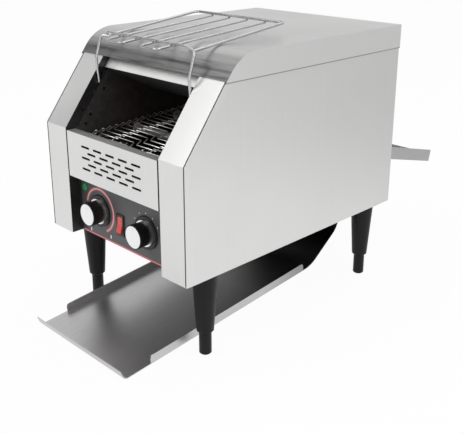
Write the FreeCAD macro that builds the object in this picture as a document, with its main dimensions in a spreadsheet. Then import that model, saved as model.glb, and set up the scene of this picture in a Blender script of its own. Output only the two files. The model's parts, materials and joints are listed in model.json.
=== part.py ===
import FreeCAD, Part
import math
import operator
import os

import Sketcher

Vector = FreeCAD.Vector

# Conveyor toaster. The case stands on four legs, a wire belt carries bread between two rows of
# quartz heaters, and the toast falls on a bent slide that returns it under the case.
# All places are taken from the middle of the case: X to the right, Y to the rear, Z up from the floor.

LENGTHS = {
    # Case and sheets
    "case_width": 285,
    "case_depth": 417,
    "case_height": 388,
    "sheet_wall": 1.0,
    "seat_gap": 0.3,
    "running_gap": 0.05,
    "overrun": 1.5,
    "base_level": 118.8,
    "kink_level": 269,
    "nose_radius": 57,
    "cover_lip_drop": 33.5,
    "cover_front_rise": 2.5,
    "fold_band": 8,
    "fold_depth": 0.7,
    "rear_flange": 12,
    "top_flange": 11,
    "base_flange": 15,
    "base_end_margin": 9,
    "drop_front_setback": 108.5,
    "drop_rear_setback": 16.5,
    # Front posts
    "recess_half": 95.5,
    "post_shadow_gap": 2,
    "post_return": 20,
    "post_outer_return": 12,
    "post_top_drop": 3,
    # Inner walls
    "wall_lap": 4,
    "peg_hole_depth": 12.4,
    "wall_hole_depth": 25,
    "wall_rear_setback": 18.5,
    "wall_top_gap": 6,
    "wall_foot": 10,
    "wall_foot_setback": 38.5,
    "peg_hole_radius": 2,
    # Opening rail and upper shield
    "rail_setback": 68.5,
    "rail_level": 341,
    "rail_reach": 21.4,
    "rail_tail": 15,
    "shield_reach": 88,
    "shield_lip": 6,
    # Vent panel
    "vent_half": 93,
    "vent_bottom": 203.5,
    "vent_top": 266.5,
    "vent_return": 13,
    "slot_length": 18,
    "slot_width": 3,
    "slot_pitch": 26.25,
    "slot_row_pitch": 7.5,
    "slot_lowest": 221,
    "vent_tab": 10,
    # Control panel
    "control_setback": 18,
    "control_flange": 10,
    "overlay_thickness": 0.4,
    "overlay_margin": 0.5,
    # Knobs and what they turn
    "speed_knob_x": -52,
    "mode_knob_x": 46,
    "knob_level": 158.5,
    "mode_knob_level": 156.5,
    "skirt_radius": 22.5,
    "skirt_depth": 2.2,
    "ring_radius": 17.5,
    "ring_inner_radius": 15.6,
    "ring_depth": 2.2,
    "grip_base_radius": 15.5,
    "grip_radius": 16.2,
    "grip_depth": 19,
    "cap_radius": 14.6,
    "cap_depth": 1,
    "grip_edge": 0.8,
    "flute_radius": 1.6,
    "flute_bite": 0.7,
    "knob_lift": 0.5,
    "spindle_radius": 3,
    "spindle_depth": 14,
    "spindle_tail": 3.5,
    "control_can_radius": 13,
    "control_can_depth": 19,
    "control_neck_radius": 5,
    "pointer_width": 1.6,
    "pointer_depth": 0.5,
    # Rocker switch
    "switch_x": -7,
    "switch_level": 151,
    "switch_frame_width": 15,
    "switch_frame_height": 30,
    "switch_frame_proud": 2,
    "switch_body_width": 12.6,
    "switch_body_height": 27,
    "switch_body_depth": 20,
    "rocker_width": 9.4,
    "rocker_half_height": 11,
    "rocker_thickness": 3.2,
    "rocker_pivot_radius": 2.6,
    "rocker_pin_radius": 1.2,
    "rocker_hollow": 1.2,
    "rocker_setback": 1,
    "rocker_gap": 0.6,
    # Pilot light
    "pilot_x": -84.8,
    "pilot_level": 184.5,
    "pilot_lens_radius": 6,
    "pilot_lens_proud": 3,
    "pilot_body_radius": 4.9,
    "pilot_body_depth": 18,
    # Belt, shafts and chain
    "belt_half": 87,
    "idler_setback": 36.5,
    "idler_level": 243,
    "belt_end_margins": 110.6,
    "belt_radius": 17,
    "belt_thickness": 2,
    "belt_slot_length": 30,
    "belt_column_pitch": 34,
    "belt_slot_width": 9,
    "belt_row_pitch": 12,
    "shaft_radius": 4,
    "shaft_overhang": 4,
    "sprocket_radius": 14.4,
    "sprocket_root_radius": 12.4,
    "sprocket_thickness": 3,
    "sprocket_hub_radius": 8,
    "sprocket_hub_length": 10,
    "sprocket_span": 46,
    "bush_radius": 7,
    "bush_flange_radius": 9.5,
    "bush_flange": 2,
    "chain_centres": 136.9,
    "chain_offset": 9.5,
    "chain_width": 4,
    "chain_thickness": 3.2,
    "chain_sprocket_radius": 13,
    "chain_sprocket_root_radius": 10.8,
    "chain_sprocket_thickness": 2.6,
    # Motor
    "motor_radius": 30,
    "motor_depth": 25,
    "gearbox_radius": 26,
    "gearbox_depth": 14,
    "motor_shaft_radius": 3.5,
    "motor_boss_radius": 6,
    # Heaters
    "heater_radius": 5.5,
    "heater_end": 98,
    "heater_pin_radius": 1.5,
    "heater_pin_length": 7,
    "upper_heater_setback": 173.5,
    "upper_heater_margins": 267,
    "upper_heater_rise": 53,
    "lower_heater_setback": 118.5,
    "lower_heater_margins": 156.4,
    "holder_radius": 7.5,
    "holder_flange_radius": 9.5,
    "holder_flange": 2.5,
    "reflector_setback": 152.5,
    "reflector_rise": 70,
    "reflector_reach": 190,
    "reflector_lip": 22,
    "reflector_flange": 12,
    # Crumb shield
    "crumb_level": 213,
    "crumb_setback": 22.5,
    "crumb_flange": 8,
    # Toast slide
    "slide_overhang": 67.5,
    "slide_half": 93.5,
    "slide_lip": 8,
    "slide_lip_radius": 9,
    "slide_floor_setback": 149.2,
    "slide_bend_radius": 50,
    "slide_ramp": 50,
    "slide_second_radius": 30,
    "slide_rise_run": 41,
    "slide_top_run": 38,
    "slide_flange_height": 12,
    "slide_flange_front": 36,
    "slide_flange_stop": 4,
    "slide_flange_corner": 5,
    "slide_hook": 9,
    "slide_hook_radius": 3,
    "slide_top_radius": 60,
    "slide_notch": 8,
    "rail_leg": 6,
    "rail_width": 8,
    "slide_lift": 0.3,
    # Rear tray
    "tray_overhang": 199.5,
    "tray_half": 93,
    "tray_end_level": 126.5,
    "tray_inner_setback": 29.5,
    "tray_flange": 20,
    "tray_end_lip": 14,
    "tray_slot_gap": 1.5,
    "tray_stop": 5,
    "runner_drop": 3,
    "runner_length": 60,
    # Legs
    "leg_inset": 25.2,
    "front_leg_setback": 51,
    "rear_leg_setback": 34.6,
    "leg_plate": 40,
    "leg_plate_thickness": 3,
    "leg_top_radius": 16.8,
    "leg_tip_radius": 11.4,
    "leg_bottom": 32,
    "leg_chamfer": 2,
    "foot_radius": 8.2,
    "foot_chamfer": 1.5,
    "foot_neck_radius": 5,
    "foot_neck": 16,
    "stud_radius": 3,
    "stud_rise": 9,
    "nut_radius": 5.5,
    "nut_thickness": 4,
    # Bread rack
    "rack_half": 85,
    "rack_wire_radius": 1.9,
    "rack_inner_radius": 1.5,
    "rack_rear_setback": 228.5,
    "rack_corner": 6,
    "rack_bend": 5,
    "rack_peg_bend": 2.5,
    "rack_cross_rise": 6,
    "rack_cross_step": 5,
    "rack_elbow": 3,
    "rack_front_setback": 67.5,
    "rack_pitch": 34,
    "rack_loop_setback": 39.5,
    "rack_loop_level": 386,
    "rack_ear": 7,
    "rack_pivot_level": 322,
    "rack_elbow_level": 356,
    # Fan
    "fan_x": 32,
    "fan_setback": 80.5,
    "fan_size": 80,
    "fan_depth": 25,
    "fan_bore_radius": 38,
    "fan_hub_radius": 17,
    "fan_tip_gap": 1.2,
    "fan_end_gap": 2.5,
    "fan_blade": 2,
    "fan_strut": 4,
    "guard_ring": 2,
    "guard_thickness": 2,
    "guard_spacing": 9,
    # Small parts
    "screw_head_radius": 3.2,
    "screw_head_depth": 1.6,
    "screw_radius": 1.8,
    "screw_length": 3.5,
    "gland_radius": 9,
    "gland_bore_radius": 4,
    "gland_length": 14,
    "gland_collar": 3,
    "gland_inset": 34.5,
    "gland_level": 140,
    "board_width": 70,
    "board_depth": 48,
    "board_thickness": 1.6,
    "board_x": -58,
    "board_setback": 80.5,
    "board_rise": 8,
    "post_radius": 3,
    "board_part": 8,
    "terminal_width": 48,
    "terminal_depth": 18,
    "terminal_height": 16,
    "terminal_well": 5,
    "terminal_x": 20,
    "terminal_setback": 188.5,
    "louvre_length": 44,
    "louvre_width": 3.5,
    "louvre_pitch_x": 56,
    "louvre_pitch": 9,
    "louvre_x": -56,
    "louvre_level": 300,
}

ANGLES = {
    "slant_angle": 52.8,
    "shield_angle": -27.7,
    "belt_slope": 3.08,
    "chain_angle": 46.6,
    "slide_slope": 5.3,
    "slide_lip_angle": 75,
    "slide_bend_angle": 31,
    "slide_second_angle": 28,
    "slide_top_angle": 10,
    "reflector_lip_angle": 75,
    "tray_slope": 14.3,
    "rocker_tilt": 9,
    "rack_slope": 6.4,
    "fan_blade_twist": 32,
}

COUNTS = {
    "knob_flutes": 24,
    "slot_columns": 5,
    "slot_rows": 3,
    "belt_columns": 5,
    "belt_rows": 24,
    "sprocket_teeth": 8,
    "sprockets": 4,
    "chain_teeth": 14,
    "upper_heaters": 4,
    "lower_heaters": 3,
    "fan_blades": 7,
    "terminals": 5,
    "guard_rings": 4,
    "louvre_columns": 3,
    "louvre_rows": 4,
}

SHARES = {
    "tooth_root_share": 0.32,
    "tooth_tip_share": 0.14,
}

POST_HOLE_SHARES = (0.215, 0.487, 0.744)
WALL_HOLE_SHARES = (0, 0.138, 0.51)
REAR_SCREW_SHARES = (0.08, 0.5, 0.92)
WELD_SHARE = 0.9
HALF = 0.5
EVEN_SPACING = -1
NUT_SIDES = 6
FULL_TURN = 360


class Size:
    """A value worked out from the sheet's cells: its formula and its number."""

    def __init__(self, text, value):
        self.text = text
        self.value = value

    def __add__(self, other):
        return joined(self, "+", other)

    def __radd__(self, other):
        return joined(other, "+", self)

    def __sub__(self, other):
        return joined(self, "-", other)

    def __rsub__(self, other):
        return joined(other, "-", self)

    def __mul__(self, other):
        return joined(self, "*", other)

    def __rmul__(self, other):
        return joined(other, "*", self)

    def __truediv__(self, other):
        return joined(self, "/", other)

    def __neg__(self):
        return Size("(-1 * %s)" % self.text, -self.value)

    def __float__(self):
        return float(self.value)


SIGNS = {"+": operator.add, "-": operator.sub, "*": operator.mul, "/": operator.truediv}


def sized(item):
    """Gives a plain number the same form as a sheet value."""
    if isinstance(item, Size):
        return item
    return Size(repr(float(item)), float(item))


def joined(left, sign, right):
    left = sized(left)
    right = sized(right)
    return Size("(%s %s %s)" % (left.text, sign, right.text), SIGNS[sign](left.value, right.value))


def sine(angle):
    return Size("sin(%s)" % sized(angle).text, math.sin(math.radians(float(angle))))


def cosine(angle):
    return Size("cos(%s)" % sized(angle).text, math.cos(math.radians(float(angle))))


def tangent(angle):
    return Size("tan(%s)" % sized(angle).text, math.tan(math.radians(float(angle))))


doc = FreeCAD.newDocument("conveyor_toaster")
sheet = doc.addObject("Spreadsheet::Sheet", "sizes")


class Sheet:
    """Reads each driving value by its name, as of.case_width."""


of = Sheet()
row = 0
for group in (LENGTHS, ANGLES, COUNTS, SHARES):
    for alias, number in group.items():
        row = row + 1
        sheet.set("A%d" % row, alias)
        sheet.set("B%d" % row, str(number))
        sheet.setAlias("B%d" % row, alias)
doc.recompute()
for group in (LENGTHS, ANGLES, COUNTS, SHARES):
    for alias in group:
        setattr(of, alias, Size("sizes." + alias, float(sheet.get(alias))))

ZERO = sized(0)
pieces = []


def bind(thing, name, size):
    thing.setExpression(name, sized(size).text)


def place(piece, x=ZERO, y=ZERO, z=ZERO, axis=None, angle=None):
    """Puts a finished piece at its place, with the whole part centred on its own reach."""
    if axis is not None:
        piece.Placement = FreeCAD.Placement(Vector(), FreeCAD.Rotation(Vector(*axis), float(angle)))
        bind(piece, "Placement.Rotation.Angle", angle)
    bind(piece, "Placement.Base.x", x)
    bind(piece, "Placement.Base.y", y + middle_shift)
    bind(piece, "Placement.Base.z", z)
    pieces.append(piece)


def new_body(name):
    body = doc.addObject("PartDesign::Body", name)
    body.Label = name
    body.AllowCompound = True
    return body


def origin_part(body, role):
    for item in body.Origin.OriginFeatures:
        if item.Role == role:
            return item
    raise ValueError("no " + role)


def arc_centre(start, end, radius, turn):
    """Centre of the minor arc from start to end that turns left (1) or right (-1)."""
    chord = end - start
    reach = math.sqrt(max(radius * radius - chord.Length * chord.Length * HALF * HALF, 0))
    side = Vector(-chord.y, chord.x, 0)
    side.normalize()
    return (start + end) * HALF + side * (turn * reach)


def draw(sketch, corners):
    """Draws a closed outline. A corner is (x, y), or (x, y, radius, turn) where an arc ends."""
    spots = [Vector(float(corner[0]), float(corner[1]), 0) for corner in corners]
    first = sketch.GeometryCount
    starts = []
    for index, corner in enumerate(corners):
        spot = spots[index]
        before = spots[index - 1]
        if len(corner) == 2:
            sketch.addGeometry(Part.LineSegment(before, spot))
            starts.append((1, 2))
            continue
        centre = arc_centre(before, spot, float(corner[2]), corner[3])
        circle = Part.Circle(centre, Vector(0, 0, 1), float(corner[2]))
        low, high = (before, spot) if corner[3] > 0 else (spot, before)
        low_angle = math.atan2(low.y - centre.y, low.x - centre.x)
        high_angle = math.atan2(high.y - centre.y, high.x - centre.x)
        sketch.addGeometry(Part.ArcOfCircle(circle, low_angle, high_angle))
        starts.append((1, 2) if corner[3] > 0 else (2, 1))
    count = len(corners)
    for index, corner in enumerate(corners):
        here = first + index
        after = (index + 1) % count
        end = starts[index][1]
        sketch.addConstraint(Sketcher.Constraint(
            "Coincident", here, end, first + after, starts[after][0]))
        for kind, size in (("DistanceX", corner[0]), ("DistanceY", corner[1])):
            number = sketch.addConstraint(Sketcher.Constraint(kind, -1, 1, here, end, float(size)))
            sketch.setExpression("Constraints[%d]" % number, sized(size).text)
        if len(corner) > 2:
            number = sketch.addConstraint(Sketcher.Constraint("Radius", here, float(corner[2])))
            sketch.setExpression("Constraints[%d]" % number, sized(corner[2]).text)


def draw_circle(sketch, x, y, radius):
    here = sketch.addGeometry(Part.Circle(Vector(float(x), float(y), 0), Vector(0, 0, 1), float(radius)))
    for kind, size in (("DistanceX", x), ("DistanceY", y)):
        number = sketch.addConstraint(Sketcher.Constraint(kind, -1, 1, here, 3, float(size)))
        sketch.setExpression("Constraints[%d]" % number, sized(size).text)
    number = sketch.addConstraint(Sketcher.Constraint("Radius", here, float(radius)))
    sketch.setExpression("Constraints[%d]" % number, sized(radius).text)


PLANES = {"X": ("YZ_Plane", 1), "Y": ("XZ_Plane", -1), "Z": ("XY_Plane", 1)}


def new_sketch(body, axis, at, outlines, circles):
    """A sketch square to an axis of the part; across X it is drawn in y, z and across Y in x, z."""
    role, sign = PLANES[axis]
    sketch = body.newObject("Sketcher::SketchObject", body.Name + "_outline")
    sketch.AttachmentSupport = [(origin_part(body, role), "")]
    sketch.MapMode = "FlatFace"
    bind(sketch, "AttachmentOffset.Base.z", sign * sized(at))
    for outline in outlines:
        draw(sketch, outline)
    for circle in circles:
        draw_circle(sketch, *circle)
    return sketch


def solid(body, axis, low, high, outlines=(), circles=()):
    """Adds the outlines as a slab from low to high along the axis."""
    at = high if axis == "Y" else low
    sketch = new_sketch(body, axis, at, outlines, circles)
    pad = body.newObject("PartDesign::Pad", body.Name + "_slab")
    pad.Profile = sketch
    bind(pad, "Length", sized(high) - low)
    return pad


def opening(body, axis, low, high, outlines=(), circles=()):
    """Cuts the outlines out of the body from low to high along the axis."""
    doc.recompute()
    before = body.Shape.Volume
    at = high if axis == "Y" else low
    sketch = new_sketch(body, axis, at, outlines, circles)
    pocket = body.newObject("PartDesign::Pocket", body.Name + "_cut")
    pocket.Profile = sketch
    pocket.Reversed = True
    bind(pocket, "Length", sized(high) - low)
    doc.recompute()
    if not body.Shape.Volume < before:
        raise ValueError("nothing was cut from " + body.Label)
    return pocket


def turned_solid(body, axis, outline):
    """Turns an outline, drawn as (radius, place along the axis), about the body's own axis."""
    sketch = body.newObject("Sketcher::SketchObject", body.Name + "_profile")
    role = {"X": "XY_Plane", "Y": "XY_Plane", "Z": "XZ_Plane"}[axis]
    sketch.AttachmentSupport = [(origin_part(body, role), "")]
    sketch.MapMode = "FlatFace"
    if axis == "X":
        outline = [(corner[1], corner[0]) for corner in outline]
    draw(sketch, outline)
    round_form = body.newObject("PartDesign::Revolution", body.Name + "_turned")
    round_form.Profile = sketch
    round_form.ReferenceAxis = (origin_part(body, axis + "_Axis"), [""])
    round_form.Angle = FULL_TURN
    return round_form


def ring_of(body, feature, axis, count):
    """Repeats a feature round the body's own axis."""
    pattern = body.newObject("PartDesign::PolarPattern", body.Name + "_ring")
    pattern.Originals = [feature]
    pattern.Axis = (origin_part(body, axis + "_Axis"), [""])
    pattern.Angle = FULL_TURN
    bind(pattern, "Occurrences", count)
    body.Tip = pattern
    return pattern


def row_of(body, feature, axis, step, count, axis_two=None, step_two=None, count_two=None):
    """Repeats a feature in a row, or in rows and columns."""
    pattern = body.newObject("PartDesign::LinearPattern", body.Name + "_row")
    pattern.Originals = feature if isinstance(feature, list) else [feature]
    pattern.Direction = (origin_part(body, axis + "_Axis"), [""])
    pattern.Mode = "Spacing"
    bind(pattern, "Offset", step)
    bind(pattern, "Occurrences", count)
    if axis_two is not None:
        pattern.Direction2 = (origin_part(body, axis_two + "_Axis"), [""])
        pattern.Mode2 = "Spacing"
        pattern.Spacings2 = [EVEN_SPACING]
        bind(pattern, "Offset2", step_two)
        bind(pattern, "Occurrences2", count_two)
    body.Tip = pattern
    return pattern


def box(x_low, x_high, y_low, y_high):
    """A four-cornered outline."""
    return [(x_low, y_low), (x_high, y_low), (x_high, y_high), (x_low, y_high)]


def slot(x, y, half_length, radius):
    """A long hole with round ends, centred at x, y."""
    near = x - half_length + radius
    far = x + half_length - radius
    return [
        (far, y - radius),
        (far + radius, y, radius, 1),
        (far, y + radius, radius, 1),
        (near, y + radius),
        (near - radius, y, radius, 1),
        (near, y - radius, radius, 1),
    ]


def span(side, near, far):
    """The low and high ends of a stretch that lies on the right (1) or the left (-1)."""
    return (sized(near), sized(far)) if side > 0 else (-sized(far), -sized(near))


def bent_sheet(start, heading, steps, thickness):
    """Outline of a bent sheet whose lower face runs through straight runs and arcs.

    A step is ("run", length) or ("bend", radius of the lower face, angle), left turns positive.
    """
    x, y = start
    lower = [(x, y)]
    upper = [(x - thickness * sine(heading), y + thickness * cosine(heading))]
    for step in steps:
        if step[0] == "run":
            x = x + step[1] * cosine(heading)
            y = y + step[1] * sine(heading)
            lower.append((x, y))
            upper.append((x - thickness * sine(heading), y + thickness * cosine(heading)))
            continue
        turn = 1 if float(step[2]) > 0 else -1
        after = heading + step[2]
        x = x + turn * step[1] * (sine(after) - sine(heading))
        y = y - turn * step[1] * (cosine(after) - cosine(heading))
        heading = after
        lower.append((x, y, step[1], turn))
        upper.append((x - thickness * sine(heading), y + thickness * cosine(heading),
                      step[1] - turn * thickness, turn))
    outline = [lower[0]] + lower[1:]
    back = [upper[-1][:2]]
    for index in range(len(upper) - 1, 0, -1):
        item = upper[index]
        before = upper[index - 1][:2]
        back.append(before if len(item) == 2 else (before[0], before[1], item[2], -item[3]))
    return outline + back

# Shared planes of the case
middle_shift = (of.slide_overhang - of.tray_overhang) * HALF
wall = of.sheet_wall
outer_x = of.case_width / 2
panel_x = outer_x - wall
panel_in = panel_x - wall
front_y = -of.case_depth / 2
rear_y = of.case_depth / 2
panel_rear = rear_y - wall
rear_panel_out = panel_rear - wall
rear_panel_in = rear_panel_out - wall
base_top = of.base_level + wall
top_in = of.case_height - wall
chamber_x = of.recess_half - wall
control_y = front_y + of.control_setback
control_back = control_y + wall
lip_level = of.case_height - of.cover_lip_drop
drop_front = rear_y - of.drop_front_setback
drop_rear = rear_y - of.drop_rear_setback
wall_rear = rear_y - of.wall_rear_setback
gland_x = of.gland_inset - outer_x
slant_sine = sine(of.slant_angle)
slant_cosine = cosine(of.slant_angle)


def front_edge(depth, level):
    """The y of the slanted front at a level, set back by a depth square to the sheet."""
    return front_y + (depth + (level - of.kink_level) * slant_cosine) / slant_sine


def front_kink(depth):
    """The corner between the upright and the slanted front, set back by a depth."""
    return front_y + depth, of.kink_level - depth * (1 - slant_sine) / slant_cosine


def front_band(near, far, bottom, top):
    """Outline of a strip that follows the front of the case, between two depths."""
    return [
        (front_y + near, bottom),
        (front_y + far, bottom),
        front_kink(far),
        (front_edge(far, top), top),
        (front_edge(near, top), top),
        front_kink(near),
    ]


nose_level = of.case_height - of.nose_radius
nose_y = front_edge(of.nose_radius - wall, nose_level)


def nose_start(radius):
    """Where an arc about the nose's axis leaves the slanted front."""
    return nose_y - radius * slant_sine, nose_level + radius * slant_cosine


def make_top_cover():
    """Bent cover with a rolled front edge, side lips and a rear lip."""
    cover = new_body("top_cover")
    edge_level = lip_level + of.cover_front_rise
    inner_radius = of.nose_radius - wall
    out_y, out_z = nose_start(of.nose_radius)
    in_y, in_z = nose_start(inner_radius)
    solid(cover, "X", -outer_x, outer_x, [[
        (front_edge(-wall, lip_level), lip_level),
        (rear_y, lip_level),
        (rear_y, of.case_height),
        (nose_y, of.case_height),
        (out_y, out_z, of.nose_radius, 1),
    ]])
    opening(cover, "X", -panel_x, panel_x, [[
        (front_edge(0, lip_level - of.overrun), lip_level - of.overrun),
        (panel_rear, lip_level - of.overrun),
        (panel_rear, top_in),
        (nose_y, top_in),
        (in_y, in_z, inner_radius, 1),
    ]])
    opening(cover, "Y", front_edge(-wall - of.overrun, lip_level), front_edge(of.overrun, edge_level),
            [box(-panel_x, panel_x, lip_level - of.overrun, edge_level)])
    place(cover)


def make_side_panel(name, side):
    """Flat side with a folded rear flange, a top flange and a crushed front edge."""
    panel = new_body(name)
    in_y, in_z = nose_start(of.nose_radius - wall)
    low, high = span(side, panel_in, panel_x)
    solid(panel, "X", low, high, [[
        (front_y, of.base_level),
        (panel_rear, of.base_level),
        (panel_rear, top_in),
        (nose_y, top_in),
        (in_y, in_z),
        front_kink(0),
    ]])
    low, high = span(side, panel_x - of.rear_flange, panel_in)
    solid(panel, "Z", of.base_level, top_in - of.seat_gap, [box(low, high, rear_panel_out, panel_rear)])
    holes = [(x, z, of.screw_radius + of.running_gap) for x, z in rear_screw_spots
             if float(x) * side > 0]
    opening(panel, "Y", rear_panel_out, panel_rear, circles=holes)
    low, high = span(side, panel_x - of.top_flange, panel_in)
    solid(panel, "Z", top_in - wall, top_in, [box(low, high, nose_y + of.top_flange, rear_panel_in)])
    fold_front(panel, side)
    place(panel)


def fold_front(panel, side):
    """Crushes the outer front edge of a side panel into a wide shallow slope."""
    doc.recompute()
    base = panel.Tip
    before = base.Shape.Volume
    near = float(wall) / 4
    edges = []
    for number, edge in enumerate(base.Shape.Edges, 1):
        middle = edge.CenterOfMass
        outside = abs(middle.x - side * float(panel_x)) < near
        upright = abs(middle.y - float(front_y)) < near and edge.BoundBox.ZLength > float(of.fold_band)
        above_kink = float(of.kink_level) < middle.z < float(nose_level)
        on_slant = above_kink and abs(middle.y - float(front_edge(0, middle.z))) < near
        if outside and (upright or on_slant):
            edges.append("Edge%d" % number)
    fold = panel.newObject("PartDesign::Chamfer", panel.Label + "_fold")
    fold.Base = (base, edges)
    fold.ChamferType = "Two distances"
    fold.FlipDirection = True
    bind(fold, "Size", of.fold_band)
    bind(fold, "Size2", of.fold_depth)
    doc.recompute()
    if len(edges) != 2 or not fold.Shape.Volume < before:
        raise ValueError("the front fold is missing from " + panel.Label)


def make_rear_panel():
    """Back sheet with the tray's slot, louvres and the hole for the cord gland."""
    panel = new_body("rear_panel")
    half = panel_in - of.seat_gap
    solid(panel, "Y", rear_panel_in, rear_panel_out,
          [box(-half, half, base_top, top_in - of.seat_gap)])
    slot_half = chamber_x
    opening(panel, "Y", rear_panel_in, rear_panel_out,
            [box(-slot_half, slot_half, tray_slot_bottom, tray_slot_top)])
    opening(panel, "Y", rear_panel_in, rear_panel_out,
            circles=[(gland_x, of.gland_level, of.gland_radius)])
    holes = [(x, z, of.screw_radius + of.running_gap) for x, z in rear_screw_spots]
    opening(panel, "Y", rear_panel_in, rear_panel_out, circles=holes)
    louvre = opening(panel, "Y", rear_panel_in, rear_panel_out,
                     [slot(of.louvre_x, of.louvre_level, of.louvre_length / 2, of.louvre_width / 2)])
    row_of(panel, louvre, "X", of.louvre_pitch_x, of.louvre_columns, "Z", of.louvre_pitch, of.louvre_rows)
    place(panel)


def make_base_plate():
    """Bottom sheet with upturned sides, the drop opening, the fan hole and the leg holes."""
    base = new_body("base_plate")
    half = panel_in - of.seat_gap
    solid(base, "Z", of.base_level, base_top, [[
        (-half, front_y + wall + of.seat_gap),
        (-of.recess_half, front_y + wall + of.seat_gap),
        (-of.recess_half, control_back),
        (of.recess_half, control_back),
        (of.recess_half, front_y + wall + of.seat_gap),
        (half, front_y + wall + of.seat_gap),
        (half, rear_panel_in),
        (-half, rear_panel_in),
    ]])
    for side in (1, -1):
        low, high = span(side, half - wall, half)
        solid(base, "Z", base_top, base_top + of.base_flange,
              [box(low, high, front_y + of.post_return, rear_panel_in - of.base_end_margin)])
    opening(base, "Z", of.base_level, base_top,
            [box(-chamber_x, chamber_x, drop_front, drop_rear)])
    holes = [(x, y, of.stud_radius + of.seat_gap) for x, y in leg_spots]
    holes.append((of.fan_x, front_y + of.fan_setback, of.fan_bore_radius))
    opening(base, "Z", of.base_level, base_top, circles=holes)
    place(base)


def make_front_post(name, side):
    """Folded channel beside the recess; its face, two returns and a tab to the side panel."""
    post = new_body(name)
    top = nose_start(of.nose_radius - wall)[1] - of.post_top_drop
    post_outer = panel_in - of.post_shadow_gap
    tab = of.post_outer_return
    for near_x, far_x, near, far, bottom in (
            (of.recess_half, post_outer, ZERO, wall, of.base_level),
            (of.recess_half, of.recess_half + wall, ZERO, of.post_return, base_top),
            (post_outer - wall, post_outer, ZERO, tab, base_top),
            (post_outer - wall, panel_in, tab - wall, tab, base_top)):
        low, high = span(side, near_x, far_x)
        solid(post, "X", low, high, [front_band(near, far, bottom, top)])
    low, high = span(side, of.recess_half, of.recess_half + wall)
    holes = [(rack_pivot_y, of.rack_pivot_level, of.rack_wire_radius + of.running_gap)]
    for share in POST_HOLE_SHARES:
        level = of.kink_level + (lip_level - of.kink_level) * share
        holes.append((front_edge(of.peg_hole_depth, level), level, of.peg_hole_radius))
    opening(post, "X", low, high, circles=holes)
    place(post)


def make_inner_wall(name, side):
    """Upright wall beside the belt with the holes for shafts, heaters, rack peg and motor shaft."""
    inner = new_body(name)
    depth = of.post_return - of.wall_lap
    top = top_in - of.wall_top_gap
    low, high = span(side, chamber_x, of.recess_half)
    solid(inner, "X", low, high, [[
        (front_y + depth, base_top),
        (wall_rear, base_top),
        (wall_rear, top),
        (front_edge(depth, top), top),
        front_kink(depth),
    ]])
    low_foot, high_foot = span(side, of.recess_half, of.recess_half + of.wall_foot)
    solid(inner, "Z", base_top, base_top + wall,
          [box(low_foot, high_foot, front_y + of.wall_foot_setback, rear_y - of.wall_foot_setback)])
    holes = [(y, z, of.holder_radius) for y, z in heater_spots]
    holes.append((idler_y, idler_z, of.bush_radius + of.running_gap))
    holes.append((drive_y, drive_z, of.bush_radius + of.running_gap))
    if side < 0:
        holes.append((motor_y, motor_z, of.motor_boss_radius + of.running_gap))
    for y, z in wall_peg_spots:
        holes.append((y, z, of.peg_hole_radius))
    opening(inner, "X", low, high, circles=holes)
    place(inner)


def make_opening_rail():
    """Slanted cross member above the mouth; its top runs up behind the cover."""
    rail = new_body("opening_top_rail")
    outline = bent_sheet((front_y + of.rail_setback, of.rail_level), of.slant_angle,
                         [("run", of.rail_reach + of.rail_tail)], wall)
    solid(rail, "X", -chamber_x, chamber_x, [outline])
    place(rail)


def make_upper_shield():
    """Black sheet that slopes down behind the mouth and keeps the heat in."""
    shield = new_body("upper_heat_shield")
    start = (front_y + of.rail_setback + of.seat_gap * slant_sine,
             of.rail_level - of.seat_gap * slant_cosine)
    outline = bent_sheet(start, of.shield_angle,
                         [("run", of.shield_reach), ("bend", of.sheet_wall * 2, -of.shield_angle),
                          ("run", of.shield_lip)], wall)
    solid(shield, "X", -chamber_x, chamber_x, [outline])
    place(shield)


def make_vent_panel():
    """Pierced front sheet below the mouth, with returns and side tabs."""
    panel = new_body("front_vent_panel")
    half = of.vent_half
    back = front_y + wall
    solid(panel, "Y", front_y, back, [box(-half, half, of.vent_bottom, of.vent_top)])
    solid(panel, "Z", of.vent_top - wall, of.vent_top,
          [box(-half, half, back, front_y + of.vent_return)])
    solid(panel, "Z", of.vent_bottom, of.vent_bottom + wall, [box(-half, half, back, control_back)])
    for side in (1, -1):
        low, high = span(side, half - wall, half)
        solid(panel, "X", low, high, [box(back, control_y, of.vent_bottom, of.vent_top)])
        low, high = span(side, half, chamber_x)
        middle = (of.vent_bottom + of.vent_top) / 2
        solid(panel, "X", low, high,
              [box(control_y - wall, control_y, middle - of.vent_tab, middle + of.vent_tab)])
    wide_x = -of.slot_pitch * (of.slot_columns - 1) / 2
    length = of.slot_length / 2
    radius = of.slot_width / 2
    wide = opening(panel, "Y", front_y, back, [slot(wide_x, of.slot_lowest, length, radius)])
    row_of(panel, wide, "X", of.slot_pitch, of.slot_columns, "Z", of.slot_row_pitch * 2, of.slot_rows)
    narrow = opening(panel, "Y", front_y, back,
                     [slot(wide_x + of.slot_pitch / 2, of.slot_lowest + of.slot_row_pitch, length, radius)])
    row_of(panel, narrow, "X", of.slot_pitch, of.slot_columns - 1,
           "Z", of.slot_row_pitch * 2, of.slot_rows - 1)
    place(panel)


def make_control_panel():
    """Recessed sheet that carries the knobs, the switch and the light."""
    panel = new_body("control_panel")
    solid(panel, "Y", control_y, control_back,
          [box(-chamber_x, chamber_x, of.base_level, of.vent_bottom)])
    for side in (1, -1):
        low, high = span(side, chamber_x - wall, chamber_x)
        solid(panel, "X", low, high,
              [box(control_back, control_back + of.control_flange, base_top, of.vent_bottom)])
    cut_controls(panel, control_y, control_back)
    place(panel)


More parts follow.
